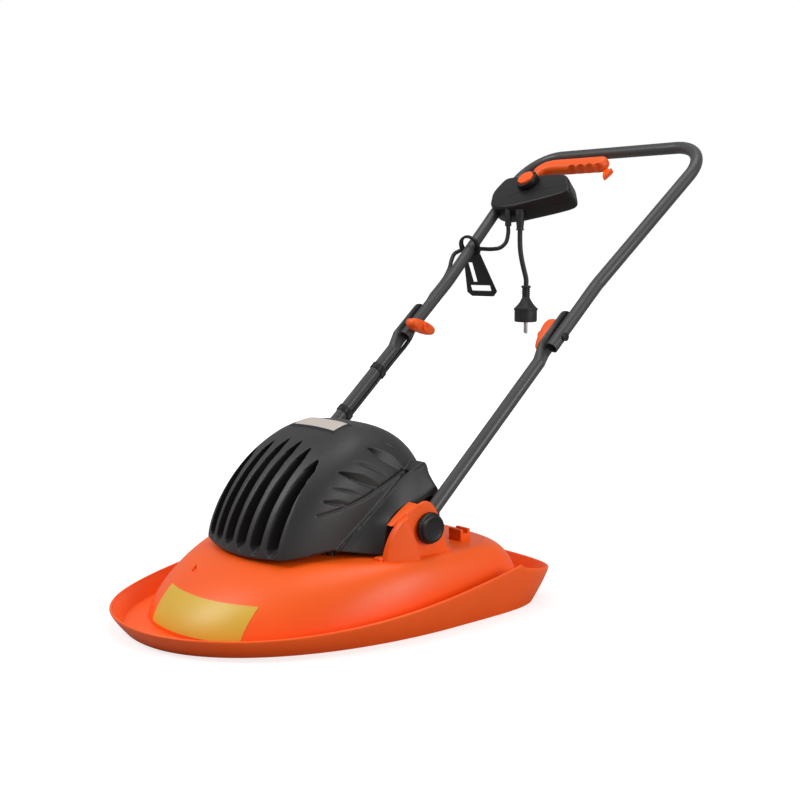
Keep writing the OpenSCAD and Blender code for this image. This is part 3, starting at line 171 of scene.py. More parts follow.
def loft(rings, closed=False):
    """Points and faces of a skin through like rings: capped at its ends, or closed round on itself."""
    count, size = len(rings), len(rings[0])
    faces = []
    for i in range(count if closed else count - 1):
        j = (i + 1) % count
        for k in range(size):
            m = (k + 1) % size
            faces.append((i * size + k, i * size + m, j * size + m, j * size + k))
    if not closed:
        faces.append(tuple(range(size)))
        faces.append(tuple(range((count - 1) * size, count * size)))
    return np.vstack(rings), faces


def lathe(profile, steps=72):
    """Points and faces of a turned form from its (radius, height) profile."""
    rings = [np.insert(circle(r, steps), 2, z, axis=1) for r, z in profile]
    return loft(rings)


def prism(outline, low, high, axis=2):
    """Points and faces of a straight prism along one axis."""
    flat = np.asarray(outline, float)
    return loft([np.insert(flat, axis, level, axis=1) for level in (low, high)])


def sweep(path, radius, steps=20):
    """Points and faces of a round tube along a path; the radius may change along it."""
    path = np.asarray(path, float)
    radii = np.broadcast_to(np.asarray(radius, float), (len(path),))
    along = np.gradient(path, axis=0)
    along /= np.linalg.norm(along, axis=1)[:, None]
    side = np.cross(along[0], (0.31, 0.52, 0.79))
    side /= np.linalg.norm(side)
    turn = turns(steps)
    rings = []
    for p, t, r in zip(path, along, radii):
        side = side - t * (side @ t)
        side /= np.linalg.norm(side)
        up = np.cross(t, side)
        rings.append(p + r * (np.cos(turn)[:, None] * side + np.sin(turn)[:, None] * up))
    return loft(rings)


def settle(piece):
    """Puts a piece's modifiers into its mesh."""
    graph = bpy.context.evaluated_depsgraph_get()
    mesh = bpy.data.meshes.new_from_object(piece.evaluated_get(graph))
    piece.modifiers.clear()
    piece.data = mesh
    return piece


def carve(piece, tool, way="DIFFERENCE"):
    """Cuts one piece with another, or joins them, and takes the tool away."""
    cut = piece.modifiers.new("cut", "BOOLEAN")
    cut.operation = way
    cut.solver = "EXACT"
    cut.object = tool
    settle(piece)
    bpy.data.objects.remove(tool)
    return piece


def join(pieces, name):
    """One object of several, which may pass through each other."""
    whole = bmesh.new()
    for piece in pieces:
        whole.from_mesh(piece.data)
        bpy.data.objects.remove(piece)
    mesh = bpy.data.meshes.new(name)
    whole.to_mesh(mesh)
    whole.free()
    made = bpy.data.objects.new(name, mesh)
    bpy.context.scene.collection.objects.link(made)
    return made


def remould(piece, grain, rounds=3):
    """Makes a carved piece one even skin with softened edges."""
    skin = piece.modifiers.new("skin", "REMESH")
    skin.mode = "VOXEL"
    skin.voxel_size = grain
    soft = piece.modifiers.new("soft", "SMOOTH")
    soft.factor = 0.5
    soft.iterations = rounds
    return settle(piece)


def soft_shading():
    """A modifier group that shades smoothly up to an edge angle."""
    group = bpy.data.node_groups.get("soft_shading")
    if group:
        return group
    group = bpy.data.node_groups.new("soft_shading", "GeometryNodeTree")
    group.interface.new_socket("Geometry", in_out="INPUT", socket_type="NodeSocketGeometry")
    group.interface.new_socket("Geometry", in_out="OUTPUT", socket_type="NodeSocketGeometry")
    come, go = group.nodes.new("NodeGroupInput"), group.nodes.new("NodeGroupOutput")
    angle = group.nodes.new("GeometryNodeInputMeshEdgeAngle")
    sharp = group.nodes.new("FunctionNodeCompare")
    sharp.data_type, sharp.operation = "FLOAT", "GREATER_THAN"
    sharp.inputs[1].default_value = math.radians(33)
    normal = group.nodes.new("GeometryNodeSetMeshNormal")
    normal.mode = "SHARPNESS"
    normal.inputs["Remove Custom"].default_value = True
    group.links.new(angle.outputs[0], sharp.inputs[0])
    group.links.new(sharp.outputs[0], normal.inputs["Edge Sharpness"])
    group.links.new(come.outputs[0], normal.inputs["Mesh"])
    group.links.new(normal.outputs[0], go.inputs[0])
    return group


def bevel(piece, width, angle=30):
    """Rounds a piece's edges, from an angle in degrees on, by a width in mm."""
    edge = piece.modifiers.new("edge", "BEVEL")
    edge.width = width * MM
    edge.segments = 3
    edge.limit_method = "ANGLE"
    edge.angle_limit = math.radians(angle)
    return piece


def soften(piece, edge=0.0, weld=False):
    """Rounds a piece's edges by a width in mm and shades it smoothly."""
    if weld:
        piece.modifiers.new("weld", "WELD").merge_threshold = 0.00002
    if edge:
        bevel(piece, edge, 38)
    piece.modifiers.new("shade", "NODES").node_group = soft_shading()
    return piece


def cover(piece, finish):
    """Gives a piece one finish."""
    piece.data.materials.clear()
    piece.data.materials.append(finish_of(finish))


def put(piece, body, slot, *nodes, finish=None):
    """Gives a piece its finish and body, and hides the CAD nodes it stands for."""
    cover(piece, finish or slot)
    if piece.type == "MESH":
        soften(piece)
    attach(piece, body)
    if nodes:
        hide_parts(*nodes)
    return piece


def dress(slot, *nodes, edge=0.5, finish=None):
    """Keeps CAD nodes as they are, with a finish and softened edges."""
    for name in nodes:
        piece = NODES[name]
        cover(piece, finish or slot)
        soften(piece, edge, weld=True)


# Finishes


class Wire:
    """A value in a material that takes ordinary sums."""

    def __init__(self, finish, socket):
        self.finish, self.socket = finish, socket

    def sum(self, kind, other, swapped=False):
        pair = (other, self) if swapped else (self, other)
        return self.finish.node("ShaderNodeMath", {"operation": kind}, dict(enumerate(pair)))

    def __add__(self, other):
        return self.sum("ADD", other)

    def __radd__(self, other):
        return self.sum("ADD", other, True)

    def __sub__(self, other):
        return self.sum("SUBTRACT", other)

    def __rsub__(self, other):
        return self.sum("SUBTRACT", other, True)

    def __mul__(self, other):
        return self.sum("MULTIPLY", other)

    def __rmul__(self, other):
        return self.sum("MULTIPLY", other, True)

    def clamp(self):
        return self.finish.node("ShaderNodeClamp", {}, {"Value": self})


class Finish:
    """A material in the making."""

    def __init__(self, name):
        self.material = bpy.data.materials.new(name)
        self.material.use_nodes = True
        self.tree = self.material.node_tree
        self.face = self.tree.nodes["Principled BSDF"]
        self.place = self.node("ShaderNodeTexCoord", out="Object")

    def node(self, kind, settings=None, sockets=None, out=0):
        made = self.tree.nodes.new(kind)
        for key, value in (settings or {}).items():
            setattr(made, key, value)
        for key, value in (sockets or {}).items():
            self.feed(made.inputs[key], value)
        return Wire(self, made.outputs[out])

    def feed(self, socket, value):
        if isinstance(value, Wire):
            self.tree.links.new(value.socket, socket)
        else:
            socket.default_value = value

    def noise(self, scale, detail=2.0, stretch=None, rough=0.5):
        place = self.place
        if stretch:
            place = self.node("ShaderNodeVectorMath", {"operation": "MULTIPLY"}, {0: place, 1: stretch})
        sockets = {"Vector": place, "Scale": scale, "Detail": detail, "Roughness": rough}
        return self.node("ShaderNodeTexNoise", {}, sockets)

    def mix(self, share, a, b):
        return self.node("ShaderNodeMix", {"data_type": "RGBA"}, {0: share, 6: a, 7: b}, out=2)

    def set(self, **values):
        for key, value in values.items():
            self.feed(self.face.inputs[key.replace("_", " ")], value)
        return self

    def bump(self, height, depth, strength):
        sockets = {"Height": height, "Distance": depth, "Strength": strength}
        return self.set(Normal=self.node("ShaderNodeBump", {}, sockets))


def shade(colour, by):
    return tuple(min(1.0, c * by) for c in colour[:3]) + (1.0,)


def moulded(name, colour, rough, grain, coat=0.0, shine=0.5):
    """Moulded plastic: fine grain, uneven gloss, faint scuffs and handling marks."""
    f = Finish(name)
    fine = f.noise(1700, 2)
    broad = f.noise(16, 4)
    scuff = ((f.noise(95, 8, (1, 1, 3.2), 0.62) - 0.63) * 7).clamp()
    spots = ((f.noise(620, 3) - 0.69) * 9).clamp()
    tint = f.mix(broad, shade(colour, 0.92), shade(colour, 1.08))
    tint = f.mix(scuff * 0.22, tint, shade(colour, 1.35))
    tint = f.mix(spots * 0.10, tint, shade(colour, 0.6))
    f.set(Base_Color=tint, Roughness=(rough + broad * 0.12 - 0.06 + scuff * 0.12).clamp())
    f.set(Coat_Weight=coat, Coat_Roughness=0.25, Specular_IOR_Level=shine)
    return f.bump(fine * grain + broad * 0.25 - scuff * 0.15, 0.00022, 0.5).material


def painted(name, colour, rough):
    """Stove paint on tube: orange peel and rubbed lines along it."""
    f = Finish(name)
    peel = f.noise(420, 2)
    broad = f.noise(20, 3)
    rub = ((f.noise(60, 7, (6, 1, 1), 0.6) - 0.6) * 6).clamp()
    tint = f.mix(broad, shade(colour, 0.85), shade(colour, 1.15))
    tint = f.mix(rub * 0.12, tint, shade(colour, 1.35))
    f.set(Base_Color=tint, Coat_Weight=0.15)
    f.set(Roughness=(rough + rub * 0.15 + broad * 0.1 - 0.05).clamp())
    return f.bump(peel, 0.0001, 0.25).material


def rubbered(name, colour, rough=0.5):
    """Cord and plug rubber: dull skin, dust and fine lines."""
    f = Finish(name)
    fine, broad = f.noise(900, 4), f.noise(30, 4)
    dust = ((f.noise(140, 6) - 0.58) * 5).clamp()
    tint = f.mix(broad, shade(colour, 0.8), shade(colour, 1.2))
    tint = f.mix(dust * 0.12, tint, (0.25, 0.24, 0.23, 1))
    f.set(Base_Color=tint, Roughness=(rough + dust * 0.2 + broad * 0.1 - 0.05).clamp())
    return f.bump(fine, 0.0002, 0.4).material


def metal(name, colour, rough, stretch=(1, 1, 14), tarnish=0.25):
    """Bare metal: drawn or turned lines, tarnish and small pits."""
    f = Finish(name)
    lines, broad = f.noise(260, 5, stretch), f.noise(45, 4)
    pits = ((f.noise(800, 3) - 0.68) * 8).clamp()
    tint = f.mix(broad * tarnish, colour, shade(colour, 0.55))
    tint = f.mix(pits * 0.4, tint, shade(colour, 0.3))
    f.set(Base_Color=tint, Metallic=1.0)
    f.set(Roughness=(rough + lines * 0.18 - 0.09 + broad * tarnish * 0.3).clamp())
    return f.bump(lines - pits * 0.6, 0.00012, 0.4).material


def wound(name, colour):
    """Enamelled winding wire, lying in turns."""
    f = Finish(name)
    sockets = {"Vector": f.place, "Scale": 420.0, "Distortion": 1.2, "Detail": 2.0}
    coils = f.node("ShaderNodeTexWave", {"bands_direction": "Z"}, sockets, out="Fac")
    broad = f.noise(60, 3)
    f.set(Base_Color=f.mix(broad, shade(colour, 0.7), shade(colour, 1.15)), Metallic=0.75)
    f.set(Roughness=(0.28 + broad * 0.15).clamp())
    return f.bump(coils, 0.0006, 0.8).material


def sheeted(name, colour):
    """A plain blank plate: even film with faint handling marks."""
    f = Finish(name)
    broad, fine = f.noise(24, 4), f.noise(700, 2)
    wipe = ((f.noise(70, 7, (1, 4, 1)) - 0.6) * 5).clamp()
    tint = f.mix(broad, shade(colour, 0.94), shade(colour, 1.05))
    f.set(Base_Color=f.mix(wipe * 0.15, tint, shade(colour, 1.3)))
    f.set(Roughness=(0.36 + broad * 0.12 + wipe * 0.1).clamp())
    return f.bump(fine, 0.00008, 0.3).material


# Forms of deck and hood


def signed_power(v, p):
    return np.sign(v) * np.abs(v) ** p


LIP_W, LIP_FRONT, LIP_REAR, LIP_N = 230, 271, 305, 2.15
RIM_FRONT_Z, RIM_CREST_Z, RIM_REAR_Z, RIM_R = 26, 68, 44, 1.8
DOME_W, DOME_FRONT, DOME_REAR, DOME_N = 203, 216, 265, 2.2
WIDEST_Y, TAIL_N = 95, 5
GUTTER_Z, DOME_RISE, WALL, MOTOR_HOLE_R = 5, 85, 3, 60


def plan(turn, half_w, front, rear, n_front):
    """Outline of lip or dome seen from above: one roundness ahead of its widest place, another behind."""
    s, c = np.sin(turn), np.cos(turn)
    n = np.where(s < 0, n_front, TAIL_N)
    reach = np.where(s < 0, front + WIDEST_Y, rear - WIDEST_Y)
    return half_w * signed_power(c, 2 / n), WIDEST_Y + reach * signed_power(s, 2 / n)


def drawn_in(h, run, n):
    return run * (1 - (1 - h**n) ** (1 / n))


def lip_height(y):
    """Height of the deck's rim: low ahead, a crest beside the rear, lower again behind."""
    climb, crest = -LIP_FRONT * 0.74, LIP_REAR * 0.64
    up = np.clip((y - climb) / (crest - climb), 0, 1)
    down = np.clip((y - crest) / (LIP_REAR - crest), 0, 1)
    rising = RIM_FRONT_Z + (RIM_CREST_Z - RIM_FRONT_Z) * up**1.7
    falling = RIM_CREST_Z - (RIM_CREST_Z - RIM_REAR_Z) * down ** (1 / 1.7)
    return np.where(y < crest, rising, falling)


def lip_ring(turn, inset, z):
    x, y = plan(turn, LIP_W - inset, LIP_FRONT - inset, LIP_REAR - inset, LIP_N)
    return np.stack([x, y, np.broadcast_to(z, x.shape)], 1)


def dome_ring(turn, h, inset=0, lift=0):
    """Part of the dome's outline at a share of its height, drawn in by an inset and lifted."""
    half_w = DOME_W - drawn_in(h, 30, 2.2) - inset
    front = DOME_FRONT - drawn_in(h, 123, 1.45) - inset
    rear = DOME_REAR - drawn_in(h, 60, 2) - inset
    x, y = plan(turn, half_w, front, rear, DOME_N)
    return np.stack([x, y, np.full(x.shape, GUTTER_Z + lift + DOME_RISE * h)], 1)


def deck_skin():
    """The deck's shell: flared lip with a rolled rim, gutter, dome and underside."""
    turn = turns(360)
    rim_z = lip_height(plan(turn, LIP_W, LIP_FRONT, LIP_REAR, LIP_N)[1])
    rings = []
    for u in np.linspace(0, 1, 12):
        rings.append(lip_ring(turn, 18 * (1 - u) ** 1.2, (rim_z - RIM_R) * u))
    for t in np.linspace(0.35, math.pi - 0.2, 6):
        rings.append(lip_ring(turn, RIM_R - RIM_R * math.cos(t), rim_z - RIM_R + RIM_R * math.sin(t)))
    for u in np.linspace(0.06, 1, 12):
        rings.append(lip_ring(turn, 3.4 + 14.6 * u**0.85, (rim_z - 2) * (1 - u) + GUTTER_Z * u))
    for h in 1 - (1 - np.linspace(0, 1, 44)) ** 1.8:
        rings.append(dome_ring(turn, h))
    for level in (GUTTER_Z + DOME_RISE, GUTTER_Z + DOME_RISE - WALL):
        rings.append(np.insert(circle(MOTOR_HOLE_R, 360), 2, level, axis=1))
    for h in np.linspace(1, 0, 24) ** 0.6:
        rings.append(dome_ring(turn, h, WALL, -WALL))
    rings.append(lip_ring(turn, 21, 2))
    rings.append(lip_ring(turn, 19.5, 0))
    return on_deck("deck_skin", loft(rings, closed=True))


def along_x(outline, low, high):
    """A prism across the deck from an outline about the pivot, in the deck's place."""
    points, faces = prism(outline, min(low, high), max(low, high), axis=0)
    return from_deck(points + (0, PIVOT_BEHIND, PIVOT_Z)), faces


YOKE_FOOT, YOKE_FLOOR = -39.5, -33
INNER_CHEEK, OUTER_CHEEK, FIN_X, ROOF = (145.2, 149.2), (168.8, 172.8), (168.8, 179.0), (150.5, 170.0)
YOKE_EDGE = [
    (-64, YOKE_FOOT), (-61, -24), (-55, -7), (-45.5, 9), (-31, 23), (-17.5, 32), (-3, 35.5), (9, 29), (18, 15),
    (27, -6), (33, -26), (37, YOKE_FOOT),
]
YOKE_CREASE = [(-30, 22), (-36, 13), (-28, -3), (-20, -28), (-18, YOKE_FOOT)]
YOKE_INNER = [(-41, YOKE_FOOT), (-30, -8), (-17, 11), (0, 20), (14, 14), (32, -14), (45, YOKE_FOOT)]
YOKE_BASE = [(-69, YOKE_FOOT), (40, YOKE_FOOT), (40, YOKE_FLOOR), (-69, YOKE_FLOOR)]
YOKE_ROOF = [(-52, 7), (-40, 17), (-27, 26), (-14, 33)]


def yoke(side):
    """One handle yoke: leaning outer cheek with a fin ahead of the knob, low inner cheek, roof and floor."""
    rear, front = smooth_path(YOKE_EDGE[4:], 6), smooth_path(YOKE_EDGE[:5], 6)
    crease, roof = smooth_path(YOKE_CREASE, 6), smooth_path(YOKE_ROOF, 6)
    pieces = []
    for outline, low, high in (
        (np.vstack([rear, crease[:1:-1]]), *OUTER_CHEEK),
        (smooth_path(YOKE_INNER, 6), *INNER_CHEEK),
        (YOKE_BASE, INNER_CHEEK[0], OUTER_CHEEK[1]),
        (np.vstack([front[:-4], crease[3:]]), *FIN_X),
        (np.vstack([roof, roof[::-1] * 0.9]), *ROOF),
    ):
        points, faces = along_x(outline, side * low, side * high)
        out, along = np.abs(points[:, 0]) / MM, points[:, 1] / MM
        lean = np.clip(PIVOT_Y - 17 - along, 0, 60) * np.clip((out - 150) / 18, 0, 1)
        points[:, 0] -= side * 0.3 * lean * MM
        pieces.append(settle(bevel(make("yoke", points, faces), 1.2, 40)))
    return pieces


CATCH_X, CATCH_Y, CATCH_Z, CATCH_HALF = 134, 168, 90, 12.5
CATCH_EDGE = [(-9, -2.5), (9, -2.5), (9, 16), (4.05, 16), (4.05, 9), (-4.05, 9), (-4.05, 16), (-9, 16)]


def catch(side):
    """The block behind a yoke that the folded handle rests in."""
    outline, x = np.array(CATCH_EDGE) + (CATCH_Y, CATCH_Z), side * CATCH_X
    return settle(bevel(on_deck("catch", prism(outline, x - CATCH_HALF, x + CATCH_HALF, axis=0)), 1.5))


HOOD_W, HOOD_FRONT, HOOD_REAR, CROWN_Y, CROWN_Z = 115.0, 115.0, 180.0, 47.0, 252.0
HOOD_SIDE_N, HOOD_FRONT_N, HOOD_REAR_N = 3.3, 1.56, 2.35
HOOD_FOOT, HOOD_LIFT = 88, 15
FACE_REACH, FACE_BOW, FACE_X = 17.0, 18.0, 89.7


def hood_edge(y):
    """Height of the hood's foot: low ahead, lifted beside the yokes."""
    return HOOD_FOOT + HOOD_LIFT * np.clip((y + HOOD_FRONT * 1.03) / (HOOD_FRONT * 0.73), 0, 1) ** 0.6


def hood_plan(h, ahead, inset=0.0):
    """Half width, reach and roundness of the hood's outline at a share of its height."""
    width, front, rear = HOOD_W - inset, HOOD_FRONT + CROWN_Y - inset, HOOD_REAR - CROWN_Y - inset
    half_w = width - drawn_in(h, width, HOOD_SIDE_N)
    ahead_reach = front - drawn_in(h, front, HOOD_FRONT_N) + FACE_REACH * (1 - h)
    reach = np.where(ahead, ahead_reach, rear - drawn_in(h, rear, HOOD_REAR_N))
    return half_w, reach, np.where(ahead, 3 - 0.5 * h, 2.7)


def hood_face(x, h, inset=0.0):
    """Where the flat face lies that cuts off the hood's rounder form ahead."""
    front = HOOD_FRONT + CROWN_Y - inset
    return CROWN_Y - front + drawn_in(h, front, HOOD_FRONT_N) + FACE_BOW * (x / FACE_X) ** 2


def hood_ring(turn, h, inset):
    s, c = np.sin(turn), np.cos(turn)
    half_w, reach, n = hood_plan(h, s < 0, inset)
    x, y = half_w * signed_power(c, 2 / n), CROWN_Y + reach * signed_power(s, 2 / n)
    y = np.maximum(y, hood_face(x, h, inset))
    edge = hood_edge(y) - inset
    return np.stack([x, y, edge + (CROWN_Z - inset - edge) * h], 1)


def hood_form(inset, name, back=0.0):
    """The hood's plain form, drawn in all round by an inset, and further behind its face."""
    rings = [hood_ring(turns(256), h, inset) for h in 1 - (1 - np.linspace(0, 0.995, 36)) ** 1.7]
    points, faces = loft(rings)
    points[:, 1] += back * np.clip((CROWN_Y - points[:, 1]) / (HOOD_FRONT + CROWN_Y), 0, 1)
    return on_deck(name, (points, faces))


def hood_front(x, z):
    """How far ahead the hood's face lies at a place seen from the front."""
    h = np.clip((z - HOOD_FOOT) / (CROWN_Z - HOOD_FOOT), 0, 1)
    half_w, reach, n = hood_plan(h, True)
    round_form = CROWN_Y - reach * (1 - np.clip(np.abs(x) / half_w, 0, 1) ** n) ** (1 / n)
    return float(np.maximum(round_form, hood_face(x, h)))


def hood_side(y, z):
    """How far out the hood's side lies at a place seen from the side."""
    edge = hood_edge(y)
    half_w, reach, n = hood_plan(np.clip((z - edge) / (CROWN_Z - edge), 0, 1), y < CROWN_Y)
    return float(half_w * (1 - np.clip(np.abs(y - CROWN_Y) / reach, 0, 1) ** n) ** (1 / n))


SLOT_PITCH, SLOT_FOOT, SLOT_TOP, SLOT_HALF, SLOT_DEEP = 28, 96, 232, 9.6, 54


def air_slot(k):
    """Cutter of one air slot: a wide foot with a slanted floor, narrowing to a point at the top."""
    x, top = SLOT_PITCH * k, SLOT_TOP - 2.9 * k * k
    rings = []
    for u in np.linspace(0, 1, 30):
        z = SLOT_FOOT + (top - SLOT_FOOT) * u
        half = (SLOT_HALF - 3 * u * u) * min(1, (u + 0.012) * 12) ** 0.6 * min(1, (1 - u) * 9 + 0.12) ** 0.7
        deep = SLOT_DEEP * min(1, u * 5 + 0.02) * min(1, (1.01 - u) * 5)
        face = hood_front(x, z)
        ring = [(-1.1, face - 22), (1.1, face - 22), (0.9, face + deep), (-0.9, face + deep)]
        rings.append(np.array([(x + half * share, y, z) for share, y in ring]))
    return on_deck("air_slot", loft(rings))


# Leaves of the hood's side: tip, base, width, depth and bow

LEAVES = (
    ((-45, 166), (0, 157), 13, 6, 1),
    ((-34, 182), (18, 165), 8, 4, 3),
    ((-16, 201), (52, 171), 24, 11, 2),
    ((6, 213), (66, 182), 9, 4, 4),
    ((38, 227), (96, 187), 28, 11, 2),
    ((68, 231), (104, 203), 10, 4, 3),
)


def leaf_cut(side, tip, base, width, deep, bow):
    """Cutter of one leaf in the hood's side: deep along its lower edge, rising to the skin elsewhere."""
    tip, base = np.array(tip, float), np.array(base, float)
    axis = base - tip
    across = np.array([-axis[1], axis[0]]) / np.linalg.norm(axis)
    rings = []
    for u in np.linspace(0.005, 0.995, 26):
        mid = tip + axis * u + across * bow * math.sin(math.pi * u)
        half = width / 2 * u**0.72 * min(1, (1 - u) * 1.8) ** 0.8 + 0.15
        up, low = mid + across * half, mid - across * half
        x_up, x_low = hood_side(*up), hood_side(*low)
        depth = deep * min(1, u * 7) * (1 - u) ** 0.9 + 0.1
        ring = [(x_up + 8, *up), (x_low + 8, *low), (x_low - depth, *low), (x_up - 0.1, *up)]
        rings.append(np.array(ring) * (side, 1, 1))
    return on_deck("leaf", loft(rings))


def stem_cut(side):
    """Cutter of the stem line that the leaves stand on."""
    line = smooth_path([(-54, 148), (-26, 153), (9, 162), (38, 172), (67, 183), (92, 192)], 8)
    path = [(side * (hood_side(y, z) + 0.2), y, z) for y, z in line]
    return on_deck("stem", sweep(path, np.linspace(1.8, 3.2, len(path)), 10))


EAR_CREASE = [
    (-30, 101, 1), (-8, 119, 1), (20, 140, 1), (50, 162, 1), (82, 185, 5), (106, 199, 20), (118, 199, 27),
    (123, 160, 20), (125, 100, 16),
]
EAR_TIP = [
    (24, 92), (26, 113), (30, 133), (42, 147), (60, 155), (87, 163), (114, 172.5), (121, 150), (122, 92),
]
EAR_ROOT_X, EAR_X = 88, 144.6


def ear(side):
    """Shoulder of the hood: from a crease in its side it sweeps out, hollowed, to an arch over the yoke."""
    root = np.array((PIVOT_BEHIND, PIVOT_Z - 30))
    rings = []
    for crease, tip in zip(smooth_path(EAR_CREASE, 8), smooth_path(EAR_TIP, 8)):
        c = crease[:2]
        way, x = tip - c, hood_side(*c) + crease[2]
        ring = [(EAR_ROOT_X, *c), (x + 2.4, *c), (x + 2.6, *(c + way * 0.07)), (x + 0.6, *(c + way * 0.11))]
        for u in (0.25, 0.45, 0.65, 0.84, 1.0):
            ring.append((x + (EAR_X - x) * (0.02 + 0.98 * u**1.35), *(c + way * u)))
        inner = tip + (root - tip) * 0.16
        ring += [(EAR_X, *inner), (EAR_ROOT_X, *inner)]
        rings.append(np.array(ring) * (side, 1, 1))
    return on_deck("ear", loft(rings))


def hood():
    """The motor hood: form and shoulders carved with slots, leaves and yoke clearance, then evened out."""
    body = hood_form(0, "hood")
    for side in (1, -1):
        carve(body, ear(side), "UNION")
    carve(body, hood_form(12, "hollow", 30))
    for side in (1, -1):
        carve(body, make("arch", *along_x(circle(27), side * 115, side * 150)))
    for k in (-2.5, -1.5, -0.5, 0.5, 1.5, 2.5):
        carve(body, air_slot(k))
    for side in (1, -1):
        carve(body, stem_cut(side))
        for leaf in LEAVES:
            carve(body, leaf_cut(side, *leaf))
    return remould(body, 0.0011, 2)


# Settings


def colour_setting(name, description, default):
    return bpy.props.FloatVectorProperty(
        name=name, description=description, default=default, size=4, min=0, max=1, subtype="COLOR"
    )


def length_setting(name, description, default):
    return bpy.props.FloatProperty(name=name, description=description, default=default, unit="LENGTH", min=0)


class MowerColours(bpy.types.PropertyGroup):
    """Colours of the mower's finishes."""

    orange: colour_setting("Orange", "Deck, lever, button and wing knobs", (1.0, 0.108, 0.003, 1))
    charcoal: colour_setting("Charcoal", "Motor hood", (0.0195, 0.0193, 0.0191, 1))
    black: colour_setting("Black", "Switch box, knobs and hook", (0.006, 0.006, 0.006, 1))
    tube: colour_setting("Tube", "Handle tubes", (0.043, 0.043, 0.043, 1))
    rubber: colour_setting("Rubber", "Cords and plug", (0.012, 0.012, 0.013, 1))
    yellow: colour_setting("Yellow plate", "Blank plate on the deck", (0.7, 0.44, 0.03, 1))
    bronze: colour_setting("Badge plate", "Blank plate on the hood", (0.56, 0.5, 0.45, 1))


class MowerSizes(bpy.types.PropertyGroup):
    """Sizes of the mower's cords and of the camera's lens."""

    lead: length_setting("Lead", "Thickness of the mains lead", 0.0084)
    cable: length_setting("Cable", "Thickness of the motor cable", 0.007)
    camera_lens: length_setting("Lens", "Length of the camera's lens", 0.05349)


def colours():
    return bpy.context.scene.mower_colours


def sizes():
    return bpy.context.scene.mower_sizes


def finish_of(finish):
    """A finish by its own name, made once."""
    name = finish + "_finish"
    made = bpy.data.materials.get(name)
    if made:
        return made
    c = colours()
    makers = {
        "orange_plastic": lambda: moulded(name, c.orange, 0.42, 0.6, 0.04, 0.4),
        "cover_plastic": lambda: moulded(name, c.charcoal, 0.46, 1.4),
        "dark_plastic": lambda: moulded(name, c.black, 0.42, 1.0, shine=0.36),
        "tube_paint": lambda: painted(name, c.tube, 0.48),
        "cord_rubber": lambda: rubbered(name, c.rubber),
        "steel": lambda: metal(name, (0.62, 0.61, 0.6, 1), 0.3),
        "black_steel": lambda: metal(name, (0.05, 0.05, 0.05, 1), 0.4),
        "core_steel": lambda: metal(name, (0.26, 0.25, 0.24, 1), 0.45, (1, 1, 60), 0.5),
        "copper": lambda: wound(name, (0.75, 0.3, 0.14, 1)),
        "brass": lambda: metal(name, (0.8, 0.58, 0.26, 1), 0.28),
        "carbon": lambda: rubbered(name, (0.02, 0.02, 0.021, 1), 0.6),
        "aluminium": lambda: metal(name, (0.72, 0.72, 0.73, 1), 0.35, (1, 1, 3)),
        "bush_plastic": lambda: moulded(name, (0.55, 0.53, 0.48, 1), 0.4, 0.6),
        "yellow_plate": lambda: sheeted(name, c.yellow),
        "badge_plate": lambda: sheeted(name, c.bronze),
    }
    return makers[finish]()


# Operators


CAMERA_PLACE = (1.3005, -1.1330, 0.4829)
CAMERA_BACK, CAMERA_RIGHT = Vector((0.7534, -0.6459, 0.1232)), Vector((0.6509, 0.7592, 0))
WHITE, BLACK = (1, 1, 1, 1), (0, 0, 0, 1)
LAMPS = (
    ("key_light", (-1.4, -2.0, 2.4), 1.3, 44),
    ("side_light", (2.6, 0.5, 1.0), 1.2, 29),
    ("top_light", (0.2, 0.3, 2.9), 2.0, 25),
)
LAMP_AIM = Vector((0, -0.05, 0.2))


